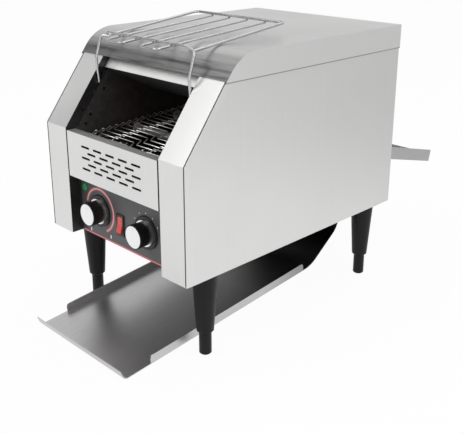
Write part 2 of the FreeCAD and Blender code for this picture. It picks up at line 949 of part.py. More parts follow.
def cut_controls(panel, near, far):
    """The holes for the knobs' necks, the switch and the pilot light."""
    opening(panel, "Y", near, far, circles=[
        (of.speed_knob_x, of.knob_level, of.control_neck_radius),
        (of.mode_knob_x, of.mode_knob_level, of.control_neck_radius),
        (of.pilot_x, of.pilot_level, of.pilot_body_radius)])
    half_width = of.switch_body_width / 2
    half_height = of.switch_body_height / 2
    opening(panel, "Y", near, far, [box(
        of.switch_x - half_width, of.switch_x + half_width,
        of.switch_level - half_height, of.switch_level + half_height)])


def make_control_overlay():
    """Thin printed sheet on the control panel."""
    overlay = new_body("control_overlay")
    near = control_y - of.overlay_thickness
    half = chamber_x - of.overlay_margin
    solid(overlay, "Y", near, control_y,
          [box(-half, half, of.base_level, of.vent_bottom - of.overlay_margin)])
    cut_controls(overlay, near, control_y)
    place(overlay)


# Axes of the belt, the chain and the motor
idler_y = front_y + of.idler_setback
idler_z = of.idler_level
belt_centres = of.case_depth - of.belt_end_margins
upper_heater_pitch = (of.case_depth - of.upper_heater_margins) / (of.upper_heaters - 1)
lower_heater_pitch = (belt_centres - of.lower_heater_margins) / (of.lower_heaters - 1)
drive_y = idler_y + belt_centres * cosine(of.belt_slope)
drive_z = idler_z + belt_centres * sine(of.belt_slope)
motor_y = drive_y - of.chain_centres * cosine(of.chain_angle)
motor_z = drive_z - of.chain_centres * sine(of.chain_angle)
chain_x = -of.recess_half - of.chain_offset
shaft_bore = of.shaft_radius + of.running_gap
upper_count = int(of.upper_heaters.value)
lower_count = int(of.lower_heaters.value)


def belt_line(y, rise):
    """The level at y of a line that lies a rise above the belt's middle line."""
    return idler_z + rise + (y - idler_y) * tangent(of.belt_slope)


heater_spots = []
for number in range(upper_count):
    spot_y = front_y + of.upper_heater_setback + upper_heater_pitch * number
    heater_spots.append((spot_y, belt_line(spot_y, of.upper_heater_rise)))
for number in range(lower_count):
    spot_y = front_y + of.lower_heater_setback + lower_heater_pitch * number
    heater_spots.append((spot_y, belt_line(spot_y, ZERO)))


def racetrack(centres, radius):
    """Outline of a loop round two equal circles, the first at the origin."""
    return [
        (centres, -radius),
        (centres + radius, ZERO, radius, 1),
        (centres, radius, radius, 1),
        (ZERO, radius),
        (-radius, ZERO, radius, 1),
        (ZERO, -radius, radius, 1),
    ]


def toothed(count, root_radius, tip_radius):
    """Outline of a sprocket with straight-sided teeth."""
    outline = []
    pitch = sized(FULL_TURN) / count
    for tooth in range(int(count.value)):
        for radius, share in ((root_radius, -of.tooth_root_share), (tip_radius, -of.tooth_tip_share),
                              (tip_radius, of.tooth_tip_share), (root_radius, of.tooth_root_share)):
            angle = pitch * (share + tooth)
            outline.append((radius * cosine(angle), radius * sine(angle)))
    return outline


def make_conveyor_belt():
    """Wire belt as one closed band with rows of openings; it slopes up to the rear."""
    belt = new_body("conveyor_belt")
    inner = of.belt_radius - of.belt_thickness
    solid(belt, "X", -of.belt_half, of.belt_half,
          [racetrack(belt_centres, of.belt_radius), racetrack(belt_centres, inner)])
    first_x = -of.belt_column_pitch * (of.belt_columns - 1) / 2
    first_y = (belt_centres - of.belt_row_pitch * (of.belt_rows - 1)) / 2
    reach = of.belt_radius + of.overrun
    half_length = of.belt_slot_length / 2
    half_width = of.belt_slot_width / 2
    gap = opening(belt, "Z", -reach, reach, [box(
        first_x - half_length, first_x + half_length, first_y - half_width, first_y + half_width)])
    row_of(belt, gap, "X", of.belt_column_pitch, of.belt_columns,
           "Y", of.belt_row_pitch, of.belt_rows)
    place(belt, y=idler_y, z=idler_z, axis=(1, 0, 0), angle=of.belt_slope)


def make_shaft(name, y, z, left_end):
    """Round shaft that carries a row of belt sprockets."""
    shaft = new_body(name)
    solid(shaft, "X", left_end, of.recess_half + of.shaft_overhang,
          circles=[(ZERO, ZERO, of.shaft_radius)])
    place(shaft, y=y, z=z)


def make_belt_sprockets(name, y, z):
    """Toothed discs with hubs, spread along a shaft."""
    row = new_body(name)
    first = -of.sprocket_span * (of.sprockets - 1) / 2
    half_disc = of.sprocket_thickness / 2
    half_hub = of.sprocket_hub_length / 2
    disc = solid(row, "X", first - half_disc, first + half_disc,
                 [toothed(of.sprocket_teeth, of.sprocket_root_radius, of.sprocket_radius)],
                 [(ZERO, ZERO, shaft_bore)])
    hub = solid(row, "X", first - half_hub, first + half_hub,
                circles=[(ZERO, ZERO, of.sprocket_hub_radius), (ZERO, ZERO, shaft_bore)])
    row_of(row, [disc, hub], "X", of.sprocket_span, of.sprockets)
    place(row, y=y, z=z)


def make_shaft_bushes():
    """Four flanged bushes that carry the two shafts in the inner walls."""
    bushes = new_body("shaft_bushes")
    for side in (1, -1):
        for near, far, radius in (
                (chamber_x - of.bush_flange, chamber_x, of.bush_flange_radius),
                (chamber_x, of.recess_half + wall, of.bush_radius)):
            low, high = span(side, near, far)
            rings = []
            for y, z in ((idler_y, idler_z), (drive_y, drive_z)):
                rings.append((y, z, radius))
                rings.append((y, z, shaft_bore))
            solid(bushes, "X", low, high, circles=rings)
    place(bushes)


def make_chain_sprocket(name, y, z, bore):
    """Toothed wheel for the chain."""
    wheel = new_body(name)
    half = of.chain_sprocket_thickness / 2
    solid(wheel, "X", chain_x - half, chain_x + half,
          [toothed(of.chain_teeth, of.chain_sprocket_root_radius, of.chain_sprocket_radius)],
          [(ZERO, ZERO, bore)])
    place(wheel, y=y, z=z)


def make_drive_chain():
    """Chain from the motor up to the drive shaft, as one closed loop."""
    chain = new_body("drive_chain")
    inner = of.chain_sprocket_radius + of.seat_gap
    half = of.chain_width / 2
    solid(chain, "X", chain_x - half, chain_x + half,
          [racetrack(of.chain_centres, inner + of.chain_thickness), racetrack(of.chain_centres, inner)])
    place(chain, y=motor_y, z=motor_z, axis=(1, 0, 0), angle=of.chain_angle)


def make_gearmotor():
    """Flat geared motor on the left inner wall, its boss through the wall."""
    motor = new_body("gearmotor")
    gearbox_end = -chamber_x + of.gearbox_depth
    bore = (ZERO, ZERO, of.motor_shaft_radius + of.running_gap)
    solid(motor, "X", -of.recess_half, -chamber_x + wall,
          circles=[(ZERO, ZERO, of.motor_boss_radius), bore])
    solid(motor, "X", -chamber_x, gearbox_end,
          circles=[(ZERO, ZERO, of.gearbox_radius), bore])
    solid(motor, "X", gearbox_end, gearbox_end + of.motor_depth,
          circles=[(ZERO, ZERO, of.motor_radius)])
    place(motor, y=motor_y, z=motor_z)


def make_motor_shaft():
    shaft = new_body("motor_shaft")
    solid(shaft, "X", chain_x - of.shaft_overhang, -chamber_x + of.gearbox_depth - of.seat_gap,
          circles=[(ZERO, ZERO, of.motor_shaft_radius)])
    place(shaft, y=motor_y, z=motor_z)


def make_quartz_heaters():
    """Quartz tubes over and inside the belt, each with a terminal pin at both ends."""
    tubes = new_body("quartz_heaters")
    solid(tubes, "X", -of.heater_end, of.heater_end,
          circles=[(y, z, of.heater_radius) for y, z in heater_spots])
    for side in (1, -1):
        low, high = span(side, of.heater_end, of.heater_end + of.heater_pin_length)
        solid(tubes, "X", low, high, circles=[(y, z, of.heater_pin_radius) for y, z in heater_spots])
    place(tubes)


def make_heater_holders():
    """Ceramic bushes that hold the heater ends in the inner walls."""
    holders = new_body("heater_holders")
    bore = of.heater_radius + of.seat_gap
    for side in (1, -1):
        for near, far, radius in (
                (chamber_x, of.recess_half, of.holder_radius - of.running_gap),
                (of.recess_half, of.recess_half + of.holder_flange, of.holder_flange_radius)):
            low, high = span(side, near, far)
            rings = []
            for y, z in heater_spots:
                rings.append((y, z, radius))
                rings.append((y, z, bore))
            solid(holders, "X", low, high, circles=rings)
    place(holders)


def make_upper_reflector():
    """Sheet over the upper heaters with a lip down at the rear."""
    reflector = new_body("upper_reflector")
    start_y = front_y + of.reflector_setback
    start = (start_y, belt_line(start_y, of.reflector_rise))
    outline = bent_sheet(start, of.belt_slope, [
        ("run", of.reflector_reach),
        ("bend", wall, -of.reflector_lip_angle),
        ("run", of.reflector_lip),
    ], wall)
    solid(reflector, "X", -chamber_x, chamber_x, [outline])
    top = bent_sheet((start[0], start[1] + wall), of.belt_slope, [("run", of.reflector_reach)],
                     of.reflector_flange)
    for side in (1, -1):
        low, high = span(side, chamber_x - wall, chamber_x)
        solid(reflector, "X", low, high, [top])
    place(reflector)


def make_crumb_shield():
    """Sheet under the belt that keeps crumbs off the motor and the wiring."""
    shield = new_body("crumb_shield")
    solid(shield, "Z", of.crumb_level, of.crumb_level + wall,
          [box(-chamber_x, chamber_x, front_y + of.crumb_setback, drop_front)])
    for side in (1, -1):
        low, high = span(side, chamber_x - wall, chamber_x)
        solid(shield, "Z", of.crumb_level, of.crumb_level + of.crumb_flange,
              [box(low, high, front_y + of.crumb_setback, drop_front)])
    place(shield)


# Planes of the controls
overlay_front = control_y - of.overlay_thickness
knob_back = overlay_front - of.knob_lift
skirt_front = knob_back - of.skirt_depth
ring_front = skirt_front - of.ring_depth
knob_front = skirt_front - of.grip_depth
rocker_y = overlay_front + of.rocker_setback


def make_knob(name, x, z):
    """Fluted grip on a round skirt, with a bore for its spindle."""
    knob = new_body(name)
    turned_solid(knob, "Y", [
        (ZERO, knob_back),
        (ZERO, knob_front + of.cap_depth),
        (of.cap_radius, knob_front + of.cap_depth),
        (of.cap_radius, knob_front),
        (of.grip_radius - of.grip_edge, knob_front),
        (of.grip_radius, knob_front + of.grip_edge),
        (of.grip_base_radius, ring_front),
        (of.grip_base_radius, skirt_front),
        (of.skirt_radius - of.grip_edge, skirt_front),
        (of.skirt_radius, skirt_front + of.grip_edge),
        (of.skirt_radius, knob_back),
    ])
    opening(knob, "Y", knob_back - of.spindle_depth, knob_back,
            circles=[(ZERO, ZERO, of.spindle_radius + of.running_gap)])
    flute = opening(knob, "Y", knob_front, ring_front,
                    circles=[(ZERO, of.grip_radius + of.flute_radius - of.flute_bite, of.flute_radius)])
    ring_of(knob, flute, "Y", of.knob_flutes)
    place(knob, x=x, z=z)


def make_knob_trim(name, x, z):
    """Bright ring on the skirt, and the bright disc in the front of the grip with its pointer."""
    trim = new_body(name)
    solid(trim, "Y", ring_front, skirt_front,
          circles=[(ZERO, ZERO, of.ring_radius), (ZERO, ZERO, of.ring_inner_radius)])
    solid(trim, "Y", knob_front, knob_front + of.cap_depth,
          circles=[(ZERO, ZERO, of.cap_radius - of.running_gap)])
    half = of.pointer_width / 2
    opening(trim, "Y", knob_front, knob_front + of.pointer_depth,
            [box(-half, half, of.cap_radius / 2, of.cap_radius + of.overrun)])
    place(trim, x=x, z=z)


def make_spindle(name, x, z):
    """Spindle that the knob sits on."""
    spindle = new_body(name)
    solid(spindle, "Y", knob_back - of.spindle_depth + of.seat_gap, control_back + of.spindle_tail,
          circles=[(ZERO, ZERO, of.spindle_radius)])
    place(spindle, x=x, z=z)


def make_knob_controls():
    """Two round controls behind the panel, their necks through the panel."""
    controls = new_body("knob_controls")
    closed = control_back + of.spindle_tail + of.seat_gap
    bores = [(x, z, of.spindle_radius + of.running_gap) for x, z in knob_spots]
    necks = [(x, z, of.control_neck_radius - of.running_gap) for x, z in knob_spots]
    cans = [(x, z, of.control_can_radius) for x, z in knob_spots]
    solid(controls, "Y", overlay_front, control_back, circles=necks + bores)
    solid(controls, "Y", control_back, closed, circles=cans + bores)
    solid(controls, "Y", closed, control_back + of.control_can_depth, circles=cans)
    place(controls)


def make_switch_housing():
    """Rocker switch housing with a bezel, an open front and pin holes."""
    housing = new_body("switch_housing")
    half_frame_x = of.switch_frame_width / 2
    half_frame_z = of.switch_frame_height / 2
    half_x = of.switch_body_width / 2 - of.running_gap
    half_z = of.switch_body_height / 2 - of.running_gap
    front = overlay_front - of.switch_frame_proud
    back = control_back + of.switch_body_depth
    solid(housing, "Y", front, overlay_front,
          [box(-half_frame_x, half_frame_x, -half_frame_z, half_frame_z)])
    solid(housing, "Y", overlay_front, back, [box(-half_x, half_x, -half_z, half_z)])
    hole_x = of.rocker_width / 2 + of.rocker_gap
    hole_z = of.rocker_half_height + of.rocker_gap * 2
    opening(housing, "Y", front, rocker_y + of.rocker_pivot_radius * 2,
            [box(-hole_x, hole_x, -hole_z, hole_z)])
    for side in (1, -1):
        low, high = span(side, hole_x - of.rocker_gap, half_x)
        opening(housing, "X", low, high, circles=[(rocker_y, ZERO, of.rocker_pin_radius + of.running_gap)])
    place(housing, x=of.switch_x, z=of.switch_level)


def make_switch_rocker():
    """Rocker with a hollowed face on a pivot boss; at rest its upper end is out."""
    rocker = new_body("switch_rocker")
    half = of.rocker_width / 2
    tall = of.rocker_half_height
    deep = of.rocker_thickness
    solid(rocker, "X", -half, half, [[
        (-deep - of.rocker_hollow, -tall),
        (ZERO, -tall),
        (of.rocker_hollow, ZERO),
        (ZERO, tall),
        (-deep - of.rocker_hollow, tall),
        (-deep, ZERO),
    ]])
    solid(rocker, "X", -half, half, circles=[(ZERO, ZERO, of.rocker_pivot_radius)])
    reach = of.switch_body_width / 2 - of.rocker_gap / 2
    solid(rocker, "X", -reach, reach, circles=[(ZERO, ZERO, of.rocker_pin_radius)])
    place(rocker, x=of.switch_x, y=rocker_y, z=of.switch_level, axis=(1, 0, 0), angle=-of.rocker_tilt)


def make_pilot_lens():
    """Green lens with a bevelled rim."""
    lens = new_body("pilot_lens")
    front = overlay_front - of.pilot_lens_proud
    middle = overlay_front - of.pilot_lens_proud / 3
    turned_solid(lens, "Y", [
        (ZERO, overlay_front),
        (ZERO, front),
        (of.pilot_lens_radius / 2, front),
        (of.pilot_lens_radius, middle),
        (of.pilot_lens_radius, overlay_front),
    ])
    place(lens, x=of.pilot_x, z=of.pilot_level)


def make_pilot_body():
    body = new_body("pilot_body")
    solid(body, "Y", overlay_front, control_back + of.pilot_body_depth,
          circles=[(ZERO, ZERO, of.pilot_body_radius - of.running_gap)])
    place(body, x=of.pilot_x, z=of.pilot_level)


# Planes of the toast slide
lip_heading = of.slide_slope - of.slide_lip_angle
slide_floor_run = of.slide_overhang + of.case_depth - of.slide_floor_setback
slide_start = (front_y - of.slide_overhang, of.slide_lift - of.slide_lip * sine(lip_heading)
               + of.slide_lip_radius * (1 - cosine(lip_heading)))


def slide_point(run, rise):
    """A point over the slide's flat floor, by its distance from the lip's bend."""
    y = slide_start[0] + of.slide_lip * cosine(lip_heading) \
        + of.slide_lip_radius * (sine(of.slide_slope) - sine(lip_heading))
    z = slide_start[1] + of.slide_lip * sine(lip_heading) \
        - of.slide_lip_radius * (cosine(of.slide_slope) - cosine(lip_heading))
    return (y + run * cosine(of.slide_slope) - rise * sine(of.slide_slope),
            z + run * sine(of.slide_slope) + rise * cosine(of.slide_slope))


slide_steps = [
    ("run", of.slide_lip),
    ("bend", of.slide_lip_radius, of.slide_lip_angle),
    ("run", slide_floor_run),
    ("bend", of.slide_bend_radius, of.slide_bend_angle),
    ("run", of.slide_ramp),
    ("bend", of.slide_second_radius, of.slide_second_angle),
    ("run", of.slide_rise_run),
    ("bend", of.slide_top_radius, of.slide_top_angle),
    ("run", of.slide_top_run),
    ("bend", of.slide_hook_radius, -(of.slide_slope + of.slide_bend_angle + of.slide_second_angle
                                     + of.slide_top_angle)),
    ("run", of.slide_hook),
]
slide_outline = bent_sheet(slide_start, lip_heading, slide_steps, wall)
hook_y = slide_outline[len(slide_steps)][0]
hook_level = slide_outline[len(slide_steps)][1]


def make_toast_slide():
    """One bent sheet: a scooped front lip, a long floor, side flanges, a steep back and a hook."""
    slide = new_body("toast_slide")
    solid(slide, "X", -of.slide_half, of.slide_half, [slide_outline])
    front = of.slide_flange_front
    rear = slide_floor_run - of.slide_flange_stop
    corner = of.slide_flange_corner
    tall = of.slide_flange_height
    for side in (1, -1):
        low, high = span(side, of.slide_half - wall, of.slide_half)
        solid(slide, "X", low, high, [[
            slide_point(front, ZERO),
            slide_point(rear, ZERO),
            slide_point(rear, tall - corner),
            slide_point(rear - corner, tall) + (corner, 1),
            slide_point(front + corner, tall),
            slide_point(front, tall - corner) + (corner, 1),
        ]])
        low, high = span(side, of.slide_half - of.rail_width - of.seat_gap, of.slide_half + of.overrun)
        opening(slide, "Y", hook_y - of.slide_top_run, hook_y,
                [box(low, high, hook_level - of.slide_notch, hook_level)])
    place(slide)


def add_slide_rails(rails):
    """Two angle strips on the inner walls; the slide's hook rests and runs on them."""
    top = hook_level - of.seat_gap
    for side in (1, -1):
        low, high = span(side, chamber_x - of.rail_width, chamber_x)
        solid(rails, "Z", top - wall, top, [box(low, high, drop_front, wall_rear)])
        low, high = span(side, chamber_x - wall, chamber_x)
        solid(rails, "Z", top - of.rail_leg, top, [box(low, high, drop_front, wall_rear)])


# Planes of the rear tray
tray_end_y = rear_y + of.tray_overhang - of.tray_flange * sine(of.tray_slope)
tray_reach = of.tray_overhang + of.tray_inner_setback


def tray_level(y):
    """The underside of the tray at y."""
    return of.tray_end_level + (tray_end_y - y) * tangent(of.tray_slope)


tray_slot_bottom = tray_level(rear_panel_out) - of.tray_slot_gap
tray_slot_top = tray_level(rear_panel_in) + of.tray_flange / cosine(of.tray_slope) + of.tray_slot_gap


def make_rear_tray():
    """Sloping tray behind the case with side flanges, an end lip and stops inside the slot."""
    tray = new_body("rear_tray")
    solid(tray, "Z", ZERO, wall, [box(-of.tray_half, of.tray_half, -tray_reach, ZERO)])
    solid(tray, "Y", -wall, ZERO, [box(-of.tray_half, of.tray_half, ZERO, of.tray_end_lip)])
    stop_rear = -(tray_end_y - rear_panel_in + of.seat_gap) / cosine(of.tray_slope) \
        - (of.tray_flange + of.tray_stop) * tangent(of.tray_slope)
    for side in (1, -1):
        low, high = span(side, of.tray_half - wall, of.tray_half)
        solid(tray, "X", low, high, [[
            (-tray_reach, ZERO),
            (ZERO, ZERO),
            (ZERO, of.tray_flange),
            (stop_rear, of.tray_flange),
            (stop_rear, of.tray_flange + of.tray_stop),
            (stop_rear - of.tray_stop, of.tray_flange + of.tray_stop),
            (-tray_reach, of.tray_flange),
        ]])
    place(tray, y=tray_end_y, z=of.tray_end_level, axis=(1, 0, 0), angle=-of.tray_slope)


def add_tray_runners(runners):
    """Two sloping angle strips on the inner walls that carry the tray's inner end."""
    reach = wall_rear - of.runner_length
    drop = (of.seat_gap + wall) / cosine(of.tray_slope)
    start = (reach, tray_level(reach) - drop)
    leg = (start[0] - of.runner_drop * sine(of.tray_slope),
           start[1] - of.runner_drop * cosine(of.tray_slope))
    length = of.runner_length / cosine(of.tray_slope) - wall
    for side in (1, -1):
        low, high = span(side, chamber_x - of.rail_width, chamber_x)
        solid(runners, "X", low, high, [bent_sheet(start, -of.tray_slope, [("run", length)], wall)])
        low, high = span(side, chamber_x - wall, chamber_x)
        solid(runners, "X", low, high, [bent_sheet(leg, -of.tray_slope, [("run", length)],
                                                   of.runner_drop + wall)])


def make_inner_rails():
    """The strips on the inner walls for the toast slide and the rear tray."""
    rails = new_body("inner_rails")
    add_slide_rails(rails)
    add_tray_runners(rails)
    place(rails)


leg_top = of.base_level - of.leg_plate_thickness


def make_leg(name, x, y):
    """Tapered leg with a bore for its foot and a threaded stud through the base."""
    leg = new_body(name)
    bore = of.foot_neck_radius + of.running_gap
    bore_top = of.leg_bottom + of.foot_neck + of.seat_gap
    turned_solid(leg, "Z", [
        (ZERO, bore_top),
        (bore, bore_top),
        (bore, of.leg_bottom),
        (of.leg_tip_radius - of.leg_chamfer, of.leg_bottom),
        (of.leg_tip_radius, of.leg_bottom + of.leg_chamfer),
        (of.leg_top_radius, leg_top),
        (of.stud_radius, leg_top),
        (of.stud_radius, base_top + of.stud_rise),
        (ZERO, base_top + of.stud_rise),
    ])
    place(leg, x=x, y=y)


def make_foot(name, x, y):
    """Round levelling foot that screws into the leg."""
    foot = new_body(name)
    top = of.leg_bottom - of.seat_gap
    turned_solid(foot, "Z", [
        (ZERO, ZERO),
        (of.foot_radius - of.foot_chamfer, ZERO),
        (of.foot_radius, of.foot_chamfer),
        (of.foot_radius, top),
        (of.foot_neck_radius, top),
        (of.foot_neck_radius, of.leg_bottom + of.foot_neck),
        (ZERO, of.leg_bottom + of.foot_neck),
    ])
    place(foot, x=x, y=y)


def make_leg_plates():
    """Square plates between the legs and the base."""
    plates = new_body("leg_plates")
    half = of.leg_plate / 2
    squares = [box(x - half, x + half, y - half, y + half) for x, y in leg_spots]
    holes = [(x, y, of.stud_radius + of.seat_gap) for x, y in leg_spots]
    solid(plates, "Z", leg_top, of.base_level, squares, holes)
    place(plates)


def add_leg_nuts(fasteners):
    """Nuts on the legs' studs."""
    rings = [(x, y, of.stud_radius + of.running_gap) for x, y in leg_spots]
    hexes = []
    for x, y in leg_spots:
        corners = []
        for corner in range(NUT_SIDES):
            angle = sized(FULL_TURN * corner) / NUT_SIDES
            corners.append((x + of.nut_radius * cosine(angle), y + of.nut_radius * sine(angle)))
        hexes.append(corners)
    solid(fasteners, "Z", base_top, base_top + of.nut_thickness, hexes, rings)


# Bread rack
rack_reach = of.nose_radius + of.rack_wire_radius + of.seat_gap
rack_seat_y = nose_y - rack_reach * sine(of.rack_slope)
rack_seat_z = nose_level + rack_reach * cosine(of.rack_slope)
rack_pivot_y = front_edge(of.peg_hole_depth, of.rack_pivot_level)
rack_front = front_y + of.rack_front_setback
rack_rear = front_y + of.rack_rear_setback
rack_loop_front = front_y + of.rack_loop_setback


def rack_line(y):
    """The middle of the rack's side wires, which rest on the rolled front of the cover."""
    return rack_seat_z + (y - rack_seat_y) * tangent(of.rack_slope)


def bent_wire(points, radius, bends):
    """Round wire through the points, with a tangent arc of its own radius at each inner one."""
    spots = [Vector(*[float(value) for value in point]) for point in points]
    edges = []
    start = spots[0]
    for index, bend in enumerate(bends, 1):
        here = spots[index]
        back = (spots[index - 1] - here).normalize()
        ahead = (spots[index + 1] - here).normalize()
        turn = math.pi - back.getAngle(ahead)
        cut = float(bend) * math.tan(turn / 2)
        first = here + back * cut
        last = here + ahead * cut
        inward = (back + ahead).normalize()
        reach = float(bend) / math.cos(turn / 2) - float(bend)
        edges.append(Part.makeLine(start, first))
        edges.append(Part.Arc(first, here + inward * reach, last).toShape())
        start = last
    edges.append(Part.makeLine(start, spots[-1]))
    path = Part.Wire(edges)
    circle = Part.makeCircle(float(radius), spots[0], spots[1] - spots[0])
    return path.makePipeShell([Part.Wire([circle])], True, False)


def make_bread_rack():
    """Welded wire rack that leans on the cover and hooks into the front posts."""
    half = of.rack_half
    thick = of.rack_wire_radius
    thin = of.rack_inner_radius
    hook_x = chamber_x - thick - of.seat_gap
    front = rack_front
    cross = rack_line(front) + of.rack_cross_rise
    weld = (thick + thin) * WELD_SHARE
    frame = bent_wire([
        (half, front, rack_line(front)),
        (half, rack_rear, rack_line(rack_rear)),
        (-half, rack_rear, rack_line(rack_rear)),
        (-half, front, rack_line(front)),
    ], thick, [of.rack_corner] * 2)
    parts = []
    parts.append(bent_wire([
        (half, front, rack_line(front)),
        (half - of.rack_ear, front - of.rack_cross_step, cross),
        (-half + of.rack_ear, front - of.rack_cross_step, cross),
        (-half, front, rack_line(front)),
    ], thin, [of.rack_bend] * 2))
    for side in (1, -1):
        parts.append(bent_wire([
            (side * (half - of.rack_ear), front, rack_line(front)),
            (side * hook_x, front - of.rack_cross_step, rack_line(front)),
            (side * hook_x, rack_pivot_y - of.rack_elbow, of.rack_elbow_level),
            (side * hook_x, rack_pivot_y, of.rack_pivot_level),
            (side * (of.recess_half + wall * 2), rack_pivot_y, of.rack_pivot_level),
        ], thick, [of.rack_bend] * 2 + [of.rack_peg_bend]))
        near = side * of.rack_pitch / 2
        far = side * of.rack_pitch * 3 / 2
        back_level = rack_line(rack_rear) - weld
        parts.append(bent_wire([
            (near, rack_rear, back_level),
            (near, front - of.rack_cross_step, cross - weld),
            (near, rack_loop_front, of.rack_loop_level),
            (far, rack_loop_front, of.rack_loop_level),
            (far, front - of.rack_cross_step, cross - weld),
            (far, rack_rear, back_level),
        ], thin, [of.rack_corner] * 4))
    rack = doc.addObject("Part::Feature", "bread_rack")
    rack.Label = "bread_rack"
    rack.Shape = frame.multiFuse(parts).removeSplitter()
    place(rack)


def make_fan_housing():
    """Square fan frame on the base plate with a motor hub on struts."""
    housing = new_body("fan_housing")
    half = of.fan_size / 2
    floor = base_top
    solid(housing, "Z", floor, floor + of.fan_depth, [box(-half, half, -half, half)],
          [(ZERO, ZERO, of.fan_bore_radius)])
    solid(housing, "Z", floor, floor + of.fan_strut, circles=[(ZERO, ZERO, of.fan_hub_radius)])
    thin = of.fan_strut / 2
    reach = of.fan_bore_radius + of.overrun
    solid(housing, "Z", floor, floor + of.fan_strut, [box(-reach, reach, -thin, thin)])
    solid(housing, "Z", floor, floor + of.fan_strut, [box(-thin, thin, -reach, reach)])
    solid(housing, "Z", floor + of.fan_strut, floor + of.fan_strut + of.fan_end_gap * 2,
          circles=[(ZERO, ZERO, of.spindle_radius)])
    place(housing, x=of.fan_x, y=front_y + of.fan_setback)


def make_fan_rotor():
    """Hub with slanted blades; it turns on the housing's pin."""
    rotor = new_body("fan_rotor")
    low = base_top + of.fan_strut + of.fan_end_gap
    high = base_top + of.fan_depth - of.fan_end_gap
    hub = of.fan_hub_radius
    solid(rotor, "Z", low, high, circles=[(ZERO, ZERO, hub)])
    opening(rotor, "Z", low, low + of.fan_end_gap + of.seat_gap,
            circles=[(ZERO, ZERO, of.spindle_radius + of.running_gap)])
    drift = (high - low) * tangent(of.fan_blade_twist) / 2
    thick = of.fan_blade / 2
    blade = solid(rotor, "X", hub - of.fan_blade, of.fan_bore_radius - of.fan_tip_gap, [[
        (-drift - thick, low), (-drift + thick, low), (drift + thick, high), (drift - thick, high)]])
    ring_of(rotor, blade, "Z", of.fan_blades)
    place(rotor, x=of.fan_x, y=front_y + of.fan_setback)


def make_fan_guard():
    """Ringed guard under the base plate."""
    guard = new_body("fan_guard")
    low = of.base_level - of.guard_thickness
    half = of.guard_ring / 2
    rings = []
    outer = of.fan_bore_radius + half
    for number in range(int(of.guard_rings.value)):
        middle = outer - of.guard_spacing * number
        rings.append((ZERO, ZERO, middle + half))
        rings.append((ZERO, ZERO, middle - half))
    solid(guard, "Z", low, of.base_level, circles=rings)
    solid(guard, "Z", low, of.base_level, [box(-outer, outer, -half, half)])
    solid(guard, "Z", low, of.base_level, [box(-half, half, -outer, outer)])
    place(guard, x=of.fan_x, y=front_y + of.fan_setback)


def make_cable_gland():
    """Gland through the rear panel with a flange outside and a nut inside."""
    gland = new_body("cable_gland")
    bore = (ZERO, ZERO, of.gland_bore_radius)
    barrel = (ZERO, ZERO, of.gland_radius - of.running_gap)
    collar = (ZERO, ZERO, of.gland_radius + of.gland_collar)
    solid(gland, "Y", rear_panel_in, rear_panel_out, circles=[barrel, bore])
    solid(gland, "Y", rear_panel_in - of.gland_collar, rear_panel_in, circles=[collar, bore])
    solid(gland, "Y", rear_panel_out, rear_panel_out + of.gland_collar, circles=[collar, bore])
    solid(gland, "Y", rear_panel_out + of.gland_collar, rear_panel_out + of.gland_length,
          circles=[(ZERO, ZERO, of.gland_radius - of.gland_collar / 2), bore])
    place(gland, x=gland_x, z=of.gland_level)


def make_control_board():
    """Circuit board on four posts with its larger parts."""
    board = new_body("control_board")
    half_x = of.board_width / 2
    half_y = of.board_depth / 2
    level = base_top + of.board_rise
    solid(board, "Z", level, level + of.board_thickness, [box(-half_x, half_x, -half_y, half_y)])
    feet = []
    for side in (1, -1):
        for end in (1, -1):
            feet.append((side * (half_x - of.board_rise / 2), end * (half_y - of.board_rise / 2),
                         of.post_radius))
    solid(board, "Z", base_top, level, circles=feet)
    top = level + of.board_thickness
    part = of.board_part
    solid(board, "Z", top, top + part, [box(-half_x / 2, -half_x / 2 + part, -part, part),
                                        box(half_x / 4, half_x / 4 + part, -part, part / 2)])
    solid(board, "Z", top, top + part * 2, circles=[(ZERO, half_y / 2, part / 2)])
    place(board, x=of.board_x, y=front_y + of.board_setback)


def make_terminal_block():
    """Terminal block with a row of screw wells."""
    block = new_body("terminal_block")
    half_x = of.terminal_width / 2
    half_y = of.terminal_depth / 2
    top = base_top + of.terminal_height
    solid(block, "Z", base_top, top, [box(-half_x, half_x, -half_y, half_y)])
    pitch = of.terminal_width / of.terminals
    well = opening(block, "Z", top - of.terminal_well, top,
                   circles=[(-half_x + pitch / 2, ZERO, pitch / 4)])
    row_of(block, well, "X", pitch, of.terminals)
    place(block, x=of.terminal_x, y=front_y + of.terminal_setback)


def add_rear_screws(fasteners):
    """Screws that hold the side flanges to the rear panel."""
    heads = [(x, z, of.screw_head_radius) for x, z in rear_screw_spots]
    shanks = [(x, z, of.screw_radius) for x, z in rear_screw_spots]
    solid(fasteners, "Y", panel_rear, panel_rear + of.screw_head_depth, circles=heads)
    solid(fasteners, "Y", panel_rear - of.screw_length, panel_rear, circles=shanks)


def make_case_fasteners():
    """The screws of the rear panel and the nuts of the legs."""
    fasteners = new_body("case_fasteners")
    add_leg_nuts(fasteners)
    add_rear_screws(fasteners)
    place(fasteners)


leg_spots = []
leg_x = outer_x - of.leg_inset
for spot_x in (-leg_x, leg_x):
    for spot_y in (front_y + of.front_leg_setback, rear_y - of.rear_leg_setback):
        leg_spots.append((spot_x, spot_y))
knob_spots = [(of.speed_knob_x, of.knob_level), (of.mode_knob_x, of.mode_knob_level)]
rear_screw_spots = []
for spot_x in (panel_x - of.rear_flange / 2, -panel_x + of.rear_flange / 2):
    for share in REAR_SCREW_SHARES:
        rear_screw_spots.append((spot_x, base_top + (lip_level - base_top) * share))
wall_peg_spots = []
for share in WALL_HOLE_SHARES:
    spot_z = of.kink_level + (lip_level - of.kink_level) * share
    wall_peg_spots.append((front_edge(of.wall_hole_depth, spot_z), spot_z))

